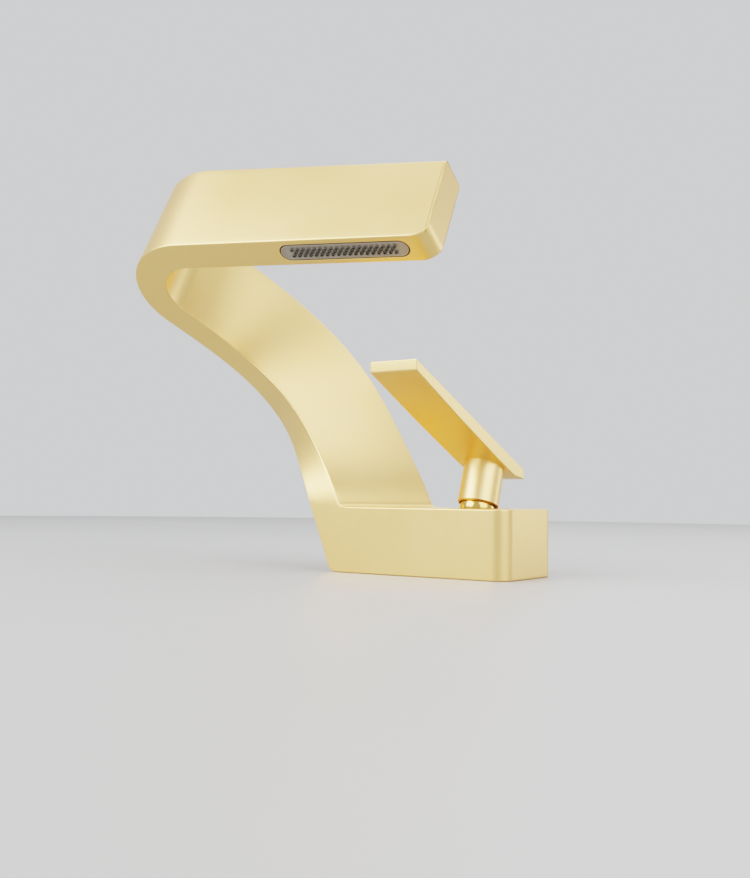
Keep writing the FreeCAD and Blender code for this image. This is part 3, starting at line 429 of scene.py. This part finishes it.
def rowsTree():
    # three staggered rows of one shape
    tree, maker, given, names = newTree("nozzleRows", [
        ("Shape", "Object"), ("Holes", "Int"), ("Pitch", "Float"), ("Row pitch", "Float"),
        ("Material", "Material")])
    shape = maker.node("GeometryNodeObjectInfo", None, {"Object": given["Shape"], "As Instance": True})[4]
    rows = []
    for row in (-1, 0, 1):
        count = given["Holes"] - (1.0 if row == 0 else 0.0)
        start = maker.node("ShaderNodeCombineXYZ", None,
                           {0: (count - 1.0) * given["Pitch"] * -0.5, 1: given["Row pitch"] * float(row)})[0]
        step = maker.node("ShaderNodeCombineXYZ", None, {0: given["Pitch"]})[0]
        rows.append(maker.node("GeometryNodeMeshLine", None,
                               {"Count": count, "Start Location": start, "Offset": step})[0])
    joined = maker.node("GeometryNodeJoinGeometry", None, {0: rows})[0]
    placed = maker.node("GeometryNodeInstanceOnPoints", None, {"Points": joined, "Instance": shape})[0]
    endTree(maker, placed, given["Material"])
    return tree, names


def threadTree():
    # a ridge with a diamond section, wound along +Z
    tree, maker, given, names = newTree("windThread", [
        ("Radius", "Float"), ("Ridge", "Float"), ("Pitch", "Float"), ("Turns", "Float"), ("Steps", "Int"),
        ("Material", "Material")])
    spiral = maker.node("GeometryNodeCurveSpiral", None, {
        "Resolution": given["Steps"], "Rotations": given["Turns"], "Start Radius": given["Radius"],
        "End Radius": given["Radius"], "Height": given["Pitch"] * given["Turns"]})[0]
    upright = maker.node("GeometryNodeSetCurveNormal", {"mode": "Z_UP"}, {"Curve": spiral})[0]
    ridge = maker.node("GeometryNodeCurvePrimitiveCircle", None, {"Resolution": 4, "Radius": given["Ridge"]})[0]
    wound = maker.node("GeometryNodeCurveToMesh", None,
                       {"Curve": upright, "Profile Curve": ridge, "Fill Caps": True})[0]
    endTree(maker, wound, given["Material"])
    return tree, names


layBand, nozzleRows, windThread = sectionTree(), rowsTree(), threadTree()
print("trees made")


# the band's path

band = {
    "width": 54.5, "tipWidth": 49.5, "thickness": 16.5,
    "spoutLength": 131.5, "bendRadius": 20.0, "bendCentre": (-117.5, -43.0, 140.5),
    "widthAzimuth": 100.0, "widthElevation": 58.0, "spoutTilt": 4.0, "legAngle": 59.5, "riserStraight": 13.0,
    "footX": -49.7, "footThickness": 18.3, "footTwist": 25.0, "footLean": 68.5,
    "footPull": 0.92, "bendPull": 1.54, "twistPower": 0.63, "blendStart": 0.45,
    "tipSlant": 2.5, "tipRadius": 8.5, "tipSteps": 12, "bendSteps": 48, "riserSteps": 60,
    "acrossSteps": 14, "throughSteps": 4, "fillet": 4.5, "filletSteps": 7, "filletGap": 0.3,
    "edge": 0.7, "edgeSteps": 3, "edgeAngle": 28,
}
base = {"right": 50.0, "depth": 50.0, "height": 32.0, "corner": 8.0, "cornerSteps": 14, "heel": 3.0,
        "heelSteps": 6}

lean = math.radians(band["widthElevation"])
turn = math.radians(band["widthAzimuth"])
tilt = math.radians(band["spoutTilt"])
leg = math.radians(band["legAngle"])
across = Vector((math.cos(lean) * math.cos(turn), math.cos(lean) * math.sin(turn), math.sin(lean)))
level = across.cross(upAxis).normalized()
along = level * math.cos(tilt) + across.cross(level) * math.sin(tilt)         # bend to tip
inward = across.cross(along)                                                  # outer face to inner face
descent = along * math.cos(leg) + inward * math.sin(leg)                      # down the riser
bendCentre = Vector(band["bendCentre"])
middleRadius = band["bendRadius"] + band["thickness"] / 2


def spoutPoint(fromTip, depth=0.0, through=0.0):
    return (bendCentre + along * (band["spoutLength"] - fromTip) - inward * (middleRadius - through)
            + across * depth)


def smoothStep(share):
    share = min(1.0, max(0.0, share))
    return share * share * (3 - 2 * share)


def riserStation(q):
    start = (bendCentre + (inward * math.cos(leg) - along * math.sin(leg)) * middleRadius
             + descent * band["riserStraight"])
    end = Vector((band["footX"], -base["depth"] / 2, base["height"]))
    slope = math.radians(band["footLean"])
    fall = Vector((math.cos(slope), 0, -math.sin(slope)))
    reach = (end - start).length
    first = descent * band["bendPull"] * reach
    last = fall * band["footPull"] * reach
    centre = (start * (2 * q**3 - 3 * q**2 + 1) + first * (q**3 - 2 * q**2 + q)
              + end * (3 * q**2 - 2 * q**3) + last * (q**3 - q**2))
    heading = (start * (6 * q**2 - 6 * q) + first * (3 * q**2 - 4 * q + 1)
               + end * (6 * q - 6 * q**2) + last * (3 * q**2 - 2 * q)).normalized()
    footWidth = Vector((math.tan(math.radians(band["footTwist"])), 1, 0)) * base["depth"]
    share = smoothStep(q ** band["twistPower"])
    width = (across * (1 - share) + footWidth.normalized() * share).normalized()
    width = (width - heading * heading.dot(width)).normalized()
    through = heading.cross(width) * band["thickness"]
    width = width * band["width"]
    blend = smoothStep((q - band["blendStart"]) / (1 - band["blendStart"]))
    through = through * (1 - blend) + Vector((band["footThickness"], 0, 0)) * blend
    width = width * (1 - blend) + footWidth * blend
    return centre, through, width


def bandStations():
    thick = inward * band["thickness"]
    stations = []
    radius = band["tipRadius"]
    taper = (band["width"] - band["tipWidth"]) / band["spoutLength"]
    for i in range(band["tipSteps"] + 1):          # the rounded corner at the tip
        angle = math.pi / 2 * i / band["tipSteps"]
        retreat = radius * (1 - math.sin(angle))
        fromTip = radius * (1 - math.cos(angle))
        wide = band["tipWidth"] + taper * fromTip - retreat
        stations.append((spoutPoint(fromTip, retreat) + along * band["tipSlant"] / 2,
                         thick + along * band["tipSlant"], across * wide))
    root = -inward * middleRadius
    sweep = math.pi - leg
    for i in range(band["bendSteps"] + 1):
        turned = Matrix.Rotation(-sweep * i / band["bendSteps"], 3, across)
        stations.append((bendCentre + turned @ root, turned @ thick, across * band["width"]))
    for i in range(band["riserSteps"] + 1):
        stations.append(riserStation(i / band["riserSteps"]))
    return stations


def riserAt(height):                               # the riser's section at a height near its foot
    low, high = 0.5, 1.0
    for halving in range(40):
        middle = (low + high) / 2
        if riserStation(middle)[0].z > height:
            low = middle
        else:
            high = middle
    return riserStation(high)


def addFillet(stations):
    # the inner face runs out into the block's top
    slope = math.radians(band["footLean"])
    reach = band["fillet"] / math.tan((math.pi - slope) / 2)
    rise = reach * math.sin(slope)
    kept = [s for s in stations if s[0].z > base["height"] + rise + band["filletGap"]]
    for i in range(band["filletSteps"] + 1):
        share = i / band["filletSteps"]
        centre, through, width = riserAt(base["height"] + rise * (1 - share) ** 2)
        flare = Vector((reach * share ** 2, 0, 0))
        kept.append((centre + flare / 2, through + flare, width))
    return kept


stations = addFillet(bandStations())
sectionCorners = []
for start, end, steps in (((-0.5, 0), (0.5, 0), band["throughSteps"]),
                          ((0.5, 0), (0.5, 1), band["acrossSteps"]),
                          ((0.5, 1), (-0.5, 1), band["throughSteps"]),
                          ((-0.5, 1), (-0.5, 0), band["acrossSteps"])):
    for i in range(steps):
        sectionCorners.append(Vector(start).lerp(Vector(end), i / steps))


def stationRing(station):
    centre, through, width = station
    return [centre + through * u + width * v for u, v in sectionCorners]


def layBandMesh():
    path = fromPolygons("bandPath", [s[0] for s in stations], [])
    for label, column in (("through", 1), ("width", 2)):
        attribute = path.data.attributes.new(label, "FLOAT_VECTOR", "POINT")
        for item, station in zip(attribute.data, stations):
            item.vector = station[column] * millimetre
    section = addObject("bandSection", bpy.data.meshes.new("bandSection"))
    section.data.from_pydata([(u, v, 0) for u, v in sectionCorners], [], [])
    made = grow(path, layBand, {"Section": section, "Material": finishes["satin_gold"]})
    bpy.data.objects.remove(section)
    return made


def blockMesh():
    # the four sides of the foot's ring, in order: front, inner, rear, outer
    foot = stationRing(stations[-1])
    tip = stationRing(stations[0])
    frontEnd = band["throughSteps"]
    innerEnd = frontEnd + band["acrossSteps"]
    rearEnd = innerEnd + band["throughSteps"]
    front = foot[:frontEnd + 1]
    inner = foot[frontEnd:innerEnd + 1]
    rear = foot[innerEnd:rearEnd + 1]
    outer = foot[rearEnd:] + foot[:1]
    half = base["depth"] / 2
    straight = half - base["corner"]
    right = base["right"] - base["corner"]
    frontArc = arc((right, -straight), base["corner"], -90, 0, base["cornerSteps"])
    rearArc = arc((right, straight), base["corner"], 0, 90, base["cornerSteps"])
    rim = frontArc + rearArc
    run = base["height"] / math.tan(math.radians(band["footLean"]))

    def at(points, height):
        return [Vector((x, y, height)) for x, y in points]

    drop = Vector((run, 0, -base["height"]))
    lowFront = foot[0] + drop
    lowRear = rear[-1] + drop
    top = at(rim, base["height"])
    low = at(rim, 0)
    faces = [tip, inner + top[::-1], front + [top[0], low[0], lowFront],
             rear + [lowRear, low[-1], top[-1]], outer + [lowFront, lowRear], low + [lowRear, lowFront]]
    faces += [[top[i], top[i + 1], low[i + 1], low[i]] for i in range(len(rim) - 1)]
    points = [point for face in faces for point in face]
    numbers = []
    count = 0
    for face in faces:
        numbers.append(tuple(range(count, count + len(face))))
        count += len(face)
    made = tidyMesh(fromPolygons("baseBlock", points, numbers))
    work = bmesh.new()
    work.from_mesh(made.data)
    # the long low edge under the riser
    heel = [e for e in work.edges if all(abs(v.co.z) < mergeDistance and v.co.x < 0 for v in e.verts)
            and abs(e.verts[0].co.y - e.verts[1].co.y) > base["depth"] * millimetre / 2]
    bmesh.ops.bevel(work, geom=heel, offset=base["heel"] * millimetre, segments=base["heelSteps"],
                    affect="EDGES", profile=0.5)
    work.to_mesh(made.data)
    work.free()
    return made


body = tidyMesh(join("faucetBody", [layBandMesh(), blockMesh()]))
softenEdges(body, band["edge"], band["edgeSteps"], band["edgeAngle"])
print("body laid:", len(body.data.polygons), "faces")


# openings in the body

cartridge = {"x": 22.0, "floor": 10.0, "bore": 12.6, "thread": 14.0, "threadFloor": 23.5, "recess": 15.0,
             "recessFloor": 27.0, "chamfer": 0.35}
under = {"portX": -3.0, "portY": 9.5, "portRadius": 4.5, "portDepth": 12.0, "studX": -13.0, "studRadius": 4.0,
         "studDepth": 8.0, "grooveInner": 19.5, "grooveOuter": 22.5, "grooveDepth": 1.2, "chamfer": 0.5,
         "ridge": 0.35, "ridgeSink": 0.1, "ridgePitch": 1.0, "ridgeTurns": 9, "ridgeStart": 1.2}
outlet = {"length": 66.0, "width": 10.5, "fromTip": 10.1, "seat": 1.8, "flange": 1.8, "throat": 5.0,
          "clearance": 0.15, "rimGap": 0.45, "plate": 1.2, "nose": 3.4, "chamfer": 0.2,
          "rim": 0.35, "rimSteps": ((0, 1), (0.6, 0.3), (2, 0), (5, 0)), "dishInset": 6.5, "dish": 0.25,
          "holes": 19, "pitch": 2.9, "rowPitch": 1.9, "holeRadius": 0.65,
          "nozzleOuter": 0.98, "nozzleRise": 0.55, "nozzleRoot": 1.0, "nozzleShoulder": 0.2, "nozzleTaper": 0.12,
          "nozzleLap": 0.02}

top = base["height"]
carve(body, lathe("boreTool", [
    (cartridge["bore"], cartridge["floor"]), (cartridge["bore"], cartridge["threadFloor"]),
    (cartridge["thread"], cartridge["threadFloor"]), (cartridge["thread"], cartridge["recessFloor"]),
    (cartridge["recess"], cartridge["recessFloor"]), (cartridge["recess"], top - cartridge["chamfer"]),
    (cartridge["recess"] + cartridge["chamfer"], top), (cartridge["recess"] + cartridge["chamfer"], top + 1)],
    (cartridge["x"], 0, 0)))
for side in (-1, 1):
    carve(body, lathe("portTool", [
        (under["portRadius"] + under["chamfer"], -1), (under["portRadius"] + under["chamfer"], 0),
        (under["portRadius"], under["chamfer"]), (under["portRadius"], under["portDepth"])],
        (under["portX"], side * under["portY"], 0), 64))
carve(body, lathe("studTool", [(under["studRadius"], -1), (under["studRadius"], under["studDepth"])],
                  (under["studX"], 0, 0), 64))
carve(body, lathe("grooveTool", [
    (under["grooveInner"], -1), (under["grooveOuter"], -1), (under["grooveOuter"], under["grooveDepth"]),
    (under["grooveInner"], under["grooveDepth"])], loop=True))

outletMiddle = outlet["fromTip"] + outlet["length"] / 2
outletTurn = Matrix((along, -inward, -across)).transposed().to_4x4()
outletPlace = Matrix.Translation(spoutPoint(outletMiddle)) @ outletTurn


def inOutlet(u, v, w):
    return outletPlace @ Vector((u, v, w))


def stadium(length, width, steps=24):
    half = (length - width) / 2
    return (arc((half, 0), width / 2, -90, 90, steps) + arc((-half, 0), width / 2, 90, 270, steps))


def stadiumSteps(name, levels):
    # a stepped plug in the outlet: each level is (length, width, height)
    rings = [[inOutlet(u, v, height) for u, v in stadium(length, width)] for length, width, height in levels]
    count = len(rings[0])
    points = [point for ring in rings for point in ring]
    faces = [tuple(range(count)), tuple(range(len(points) - count, len(points)))]
    for level in range(len(rings) - 1):
        for i in range(count):
            j = (i + 1) % count
            faces.append((level * count + i, level * count + j, (level + 1) * count + j, (level + 1) * count + i))
    return tidyMesh(fromPolygons(name, points, faces), merge=mergeDistance / 20)


seatLength, seatWidth, edge = outlet["length"], outlet["width"], outlet["chamfer"]
throatLength = seatLength - 2 * outlet["flange"]
throatWidth = seatWidth - 2 * outlet["flange"]
carve(body, stadiumSteps("seatTool", [
    (throatLength, throatWidth, -outlet["throat"]), (throatLength, throatWidth, -outlet["seat"]),
    (seatLength, seatWidth, -outlet["seat"]), (seatLength, seatWidth, -edge),
    (seatLength + 2 * edge, seatWidth + 2 * edge, 0), (seatLength + 2 * edge, seatWidth + 2 * edge, 1)]))
print("openings cut")


# cover plate over the spout's outer face

cover = {"thickness": 2.0, "lip": 1.4, "gap": 0.15, "beyond": 3.0}


def coverTool(name, stop):
    outer = -band["thickness"] / 2 - cover["beyond"]
    inner = -band["thickness"] / 2 + cover["thickness"]
    front = -cover["beyond"]
    rear = band["width"] + cover["beyond"]
    corners = []
    for fromTip in (band["spoutLength"], stop):
        for depth, through in ((front, outer), (front, inner), (rear, inner), (rear, outer)):
            corners.append(spoutPoint(fromTip, depth, through))
    faces = [(0, 1, 2, 3), (4, 5, 6, 7), (0, 1, 5, 4), (1, 2, 6, 5), (2, 3, 7, 6), (3, 0, 4, 7)]
    return tidyMesh(fromPolygons(name, corners, faces))


coverPlate = addObject("spoutCover", body.data.copy())
carve(coverPlate, coverTool("coverTool", cover["lip"] + cover["gap"]), "INTERSECT")
carve(body, coverTool("coverTool", cover["lip"]))
gold = finishes["satin_gold"]
finishPiece(coverPlate, "spoutCover", "body", gold, ["spout_cover"])


# threads, and the body with its port threads

def thread(name, radius, ridge, pitch, turns, start, steps=24):
    seed = fromPolygons(name, [(0, 0, 0)], [])
    made = grow(seed, windThread, {"Radius": radius * millimetre, "Ridge": ridge * millimetre,
                                   "Pitch": pitch * millimetre, "Turns": float(turns), "Steps": steps,
                                   "Material": gold})
    made.data.transform(Matrix.Translation(Vector(start) * millimetre))
    return made


portThreads = [thread("portThread%d" % (side + 1), under["portRadius"] + under["ridgeSink"], under["ridge"],
                      under["ridgePitch"], under["ridgeTurns"],
                      (under["portX"], side * under["portY"], under["ridgeStart"])) for side in (-1, 1)]
body = join("faucetBody", [body] + portThreads)
finishPiece(body, "faucetBody", "body", gold, ["faucet_body"])
print("body finished:", len(body.data.polygons), "faces")


# outlet plate and its nozzles

plateLength = seatLength - 2 * outlet["rimGap"]
plateWidth = seatWidth - 2 * outlet["rimGap"]
noseLength = throatLength - 2 * outlet["clearance"]
noseWidth = throatWidth - 2 * outlet["clearance"]
rimSize = outlet["rim"]
plateLevels = [(noseLength, noseWidth, -outlet["nose"]), (noseLength, noseWidth, -outlet["plate"]),
               (plateLength, plateWidth, -outlet["plate"])]
for inset, depth in outlet["rimSteps"]:            # up over the rim, in units of its size
    plateLevels.append((plateLength - inset * rimSize, plateWidth - inset * rimSize, -depth * rimSize))
dishInset = outlet["dishInset"] * rimSize
plateLevels.append((plateLength - dishInset, plateWidth - dishInset, -outlet["dish"]))
plate = stadiumSteps("outletPlate", plateLevels)


def rowsOf(shape, material):
    seed = fromPolygons("rows", [(0, 0, 0)], [])
    made = grow(seed, nozzleRows, {
        "Shape": shape, "Holes": outlet["holes"], "Pitch": outlet["pitch"] * millimetre,
        "Row pitch": outlet["rowPitch"] * millimetre, "Material": material})
    bpy.data.objects.remove(shape)
    place = outletPlace.copy()
    place.translation *= millimetre
    made.data.transform(place)
    return made


carve(plate, rowsOf(lathe("holeTool", [(outlet["holeRadius"], -outlet["nose"] - 1), (outlet["holeRadius"], 1)],
                          segments=20), gold))
finishPiece(plate, "outletPlate", "body", finishes["outlet_grey"], ["outlet_insert"])
nozzleInner = outlet["holeRadius"] - outlet["nozzleLap"]
nozzles = rowsOf(lathe("nozzleRing", [
    (nozzleInner, -outlet["nozzleRoot"]), (outlet["nozzleOuter"], -outlet["nozzleRoot"]),
    (outlet["nozzleOuter"], -outlet["nozzleShoulder"]),
    (outlet["nozzleOuter"] - outlet["nozzleTaper"], outlet["nozzleRise"]), (nozzleInner, outlet["nozzleRise"])],
    segments=16, loop=True), siliconeFinish)
finishPiece(nozzles, "outletNozzles", "body", siliconeFinish)
print("outlet finished")


# dome collar under the lever's hub

collar = {"rim": 14.95, "floor": 27.0, "top": 31.9, "dish": 11.6, "dishFloor": 28.6, "dome": 8.4, "domeTop": 4.5,
          "bore": 6.2, "rimRound": 0.4, "lipRound": 0.9, "dishRound": 1.6}
pivot = Vector((cartridge["x"], 0, base["height"]))
lowAngle = -math.degrees(math.asin((pivot.z - collar["dishFloor"]) / collar["dome"]))
highAngle = math.degrees(math.asin(collar["domeTop"] / collar["dome"]))
ringProfile = roundCorners([
    (collar["bore"], collar["floor"]), (collar["rim"], collar["floor"]), (collar["rim"], collar["top"]),
    (collar["dish"], collar["top"]), (collar["dish"], collar["dishFloor"])],
    [0, 0, collar["rimRound"], collar["lipRound"], collar["dishRound"]], 5)
ringProfile += [Vector(p) for p in arc((0, pivot.z), collar["dome"], lowAngle, highAngle, 20)]
ringProfile += [Vector((collar["bore"], pivot.z + collar["domeTop"]))]
domeCollar = lathe("domeCollar", ringProfile, (pivot.x, 0, 0), 128, loop=True)
finishPiece(domeCollar, "domeCollar", "body", finishes["polished_gold"], ["dome_collar"],
            smooth=40)


# handle, made round the pivot in its closed position, then tilted open

handle = {"openTilt": 18.0, "hub": 9.7, "hubGap": 1.5, "hubTop": 23.6, "hubChamfer": 0.6, "skirt": 8.6,
          "skirtTop": 9.0, "stem": 2.55, "stemTop": 18.0, "plug": 2.4, "plugHeight": 13.5, "plugStart": 6.9,
          "width": 23.5, "front": 90.0, "back": 18.5, "top": 27.9, "slope": 5.3, "edge": 4.6, "root": 7.0,
          "middle": 0.55, "middleShare": 0.62, "softEdge": 0.55, "plugSides": 48}
handlePlace = Matrix.Translation(pivot) @ Matrix.Rotation(math.radians(-handle["openTilt"]), 4, "X")


def onPivot(u, v, w):
    return handlePlace @ Vector((u, v, w))


def bladeTop(y):
    return handle["top"] - y * math.tan(math.radians(handle["slope"]))


def bladeOutline():
    leanShift = math.tan(math.radians(handle["openTilt"])) * handle["edge"]
    midY = -handle["front"] * handle["middle"]
    midThick = handle["edge"] + handle["middleShare"] * (handle["root"] - handle["edge"])
    return [
        (-handle["front"], bladeTop(-handle["front"])),
        (-handle["front"] + leanShift, bladeTop(-handle["front"]) - handle["edge"]),
        (midY, bladeTop(midY) - midThick),
        (-handle["hub"], bladeTop(-handle["hub"]) - handle["root"]),
        (handle["hub"], bladeTop(handle["hub"]) - handle["root"]),
        (handle["back"] + leanShift, bladeTop(handle["back"]) - handle["edge"]),
        (handle["back"], bladeTop(handle["back"])),
    ]


blade = extrude("leverBlade", bladeOutline(), -handle["width"] / 2, handle["width"] / 2,
                lambda y, z, x: onPivot(x, y, z))
softenEdges(blade, handle["softEdge"], angle=40)
finishPiece(blade, "leverBlade", "handle", gold, ["handle_blade"])

hub = lathe("leverHub", [
    (handle["hub"], handle["hubTop"]), (handle["hub"], handle["hubGap"] + handle["hubChamfer"]),
    (handle["hub"] - handle["hubChamfer"], handle["hubGap"]), (handle["skirt"], handle["hubGap"]),
    (handle["skirt"], handle["skirtTop"]), (handle["stem"], handle["skirtTop"]),
    (handle["stem"], handle["stemTop"])], segments=128)
plugSides = handle["plugSides"]
plugRing = arc((0, handle["plugHeight"]), handle["plug"], 0, 360 - 360 / plugSides, plugSides - 1)
plugHole = extrude("plugTool", plugRing, handle["plugStart"], handle["hub"] + 2,
                   lambda x, z, y: Vector((x, y, z)))
carve(hub, plugHole)
place = handlePlace.copy()
place.translation *= millimetre
hub.data.transform(place)
finishPiece(hub, "leverHub", "handle", gold, ["handle_hub"])
print("handle finished")


# fixing under the deck

fixing = {"studRadius": 3.62, "crest": 3.97, "studLow": -75.0, "studHigh": 8.0, "pitch": 1.25,
          "endRadius": 0.4, "lowRound": 0.9, "highRound": 0.6, "plainEnd": 1.2}
stud = lathe("fixingStud", roundCorners([
    (fixing["endRadius"], fixing["studLow"]), (fixing["studRadius"], fixing["studLow"]),
    (fixing["studRadius"], fixing["studHigh"]), (fixing["endRadius"], fixing["studHigh"])],
    [0, fixing["lowRound"], fixing["highRound"], 0], 3), (under["studX"], 0, 0), 48)
studTurns = (fixing["studHigh"] - fixing["studLow"] - 2 * fixing["plainEnd"]) / fixing["pitch"]
studThread = thread("studThread", fixing["studRadius"], fixing["crest"] - fixing["studRadius"], fixing["pitch"],
                    studTurns, (under["studX"], 0, fixing["studLow"] + fixing["plainEnd"]), 20)
stud = join("fixingStud", [stud, studThread])
finishPiece(stud, "fixingStud", "body", finishes["steel"], ["mounting_stud"])
for node, name, slot, width in (("stud_nut", "clampNut", "steel", 0.45),
                                ("steel_clamp_washer", "steelWasher", "steel", 0.3),
                                ("rubber_clamp_washer", "rubberWasher", "rubber", 0.5)):
    finishPiece(softenedNode(node, width), name, "body", finishes[slot], [node])
print("fixing finished")


# materials of the parts that stay as they are

slotOfNode = {
    "outlet_gasket": "rubber", "flow_straightener": "cartridge_plastic", "cartridge_base": "cartridge_plastic",
    "port_seals": "rubber", "fixed_disc": "ceramic", "moving_disc": "ceramic", "disc_carrier": "cartridge_plastic",
    "cartridge_housing": "cartridge_plastic", "neck_seal": "rubber", "cartridge_rotor": "cartridge_plastic",
    "spindle_pin": "steel", "gland_nut": "raw_brass", "hub_screw": "steel", "hub_screw_plug": "satin_gold",
    "cartridge_spindle": "raw_brass", "base_gasket": "rubber",
}
for node, slot in slotOfNode.items():
    nodes[node].data.materials.clear()
    nodes[node].data.materials.append(finishes[slot])
print("kept parts painted:", len(slotOfNode))


# studio: pale deck, soft lamps, camera

studio = {"deckRadius": 1400.0, "deckThickness": 25.0, "deckHole": 17.5,
          "deckDark": rgb(0.37, 0.37, 0.365), "deckLight": rgb(0.43, 0.43, 0.425), "deckRoughness": 0.45,
          "world": (0.40, 0.405, 0.415), "worldStrength": 1.0}


def deckPaint(maker, place):
    cloud = noise(maker, place, 3.0, 2.0)
    colour = maker.mixColour(cloud, studio["deckDark"], studio["deckLight"])
    return maker.node("ShaderNodeBsdfPrincipled", None,
                      {"Base Color": colour, "Roughness": studio["deckRoughness"]})[0]


deck = lathe("deck", [
    (studio["deckHole"], -studio["deckThickness"]), (studio["deckRadius"], -studio["deckThickness"]),
    (studio["deckRadius"], 0), (studio["deckHole"], 0)], segments=96, loop=True)
deck.data.materials.append(newMaterial("deckPaint", deckPaint))

world = bpy.data.worlds.new("studioWorld")
world.use_nodes = True
bpy.context.scene.world = world
world.node_tree.nodes["Background"].inputs["Color"].default_value = (*studio["world"], 1)
world.node_tree.nodes["Background"].inputs["Strength"].default_value = studio["worldStrength"]

lamps = {                                          # each soft lamp's place, target and size in metres, and watts
    "keyLamp": {"at": (-0.55, -1.1, 0.95), "to": (-0.05, 0, 0.10), "size": 1.3, "power": 15.0},
    "fillLamp": {"at": (1.2, -0.35, 0.75), "to": (0, 0, 0.08), "size": 1.2, "power": 7.0},
    "topLamp": {"at": (-0.1, 0.35, 1.3), "to": (-0.05, 0, 0.1), "size": 1.0, "power": 3.0},
    "rearLamp": {"at": (-0.3, 1.2, 0.7), "to": (0, 0, 0.1), "size": 1.0, "power": 1.2},
    "sideLamp": {"at": (0.75, 1.05, 0.25), "to": (0, 0, 0.05), "size": 0.5, "power": 0.9},
    "lowLamp": {"at": (0.5, -0.9, -0.7), "to": (0, 0, -0.03), "size": 0.6, "power": 3.0},
}
for name, lamp in lamps.items():
    light = bpy.data.lights.new(name, "AREA")
    light.size = lamp["size"]
    light.energy = lamp["power"]
    holder = addObject(name, light)
    holder.location = lamp["at"]
    holder.visible_camera = False
    holder.rotation_euler = (Vector(lamp["to"]) - Vector(lamp["at"])).to_track_quat("-Z", "Y").to_euler()

view = {"at": (0.2646, -0.4438, 0.0361), "yaw": 34.22, "pitch": 3.22, "roll": 0.73, "lens": 43.38,
        "sensor": 36, "clipStart": 0.01, "exposure": 0.82}


def addCamera():
    camera = bpy.data.cameras.new("mainCamera")
    camera.lens = view["lens"]
    camera.sensor_width = view["sensor"]
    camera.clip_start = view["clipStart"]
    holder = addObject("mainCamera", camera)
    yaw, pitch, roll = (math.radians(view[key]) for key in ("yaw", "pitch", "roll"))
    forward = Vector((-math.sin(yaw) * math.cos(pitch), math.cos(yaw) * math.cos(pitch), math.sin(pitch)))
    right = Vector((math.cos(yaw), math.sin(yaw), 0))
    up = right.cross(forward)
    rolledRight = right * math.cos(roll) + up * math.sin(roll)
    rolledUp = up * math.cos(roll) - right * math.sin(roll)
    turned = Matrix((rolledRight, rolledUp, -forward)).transposed().to_4x4()
    holder.matrix_world = Matrix.Translation(view["at"]) @ turned
    bpy.context.scene.camera = holder


addCamera()
bpy.context.scene.view_settings.view_transform = "Filmic"
bpy.context.scene.view_settings.look = "High Contrast"
bpy.context.scene.view_settings.exposure = view["exposure"]
print("studio set")
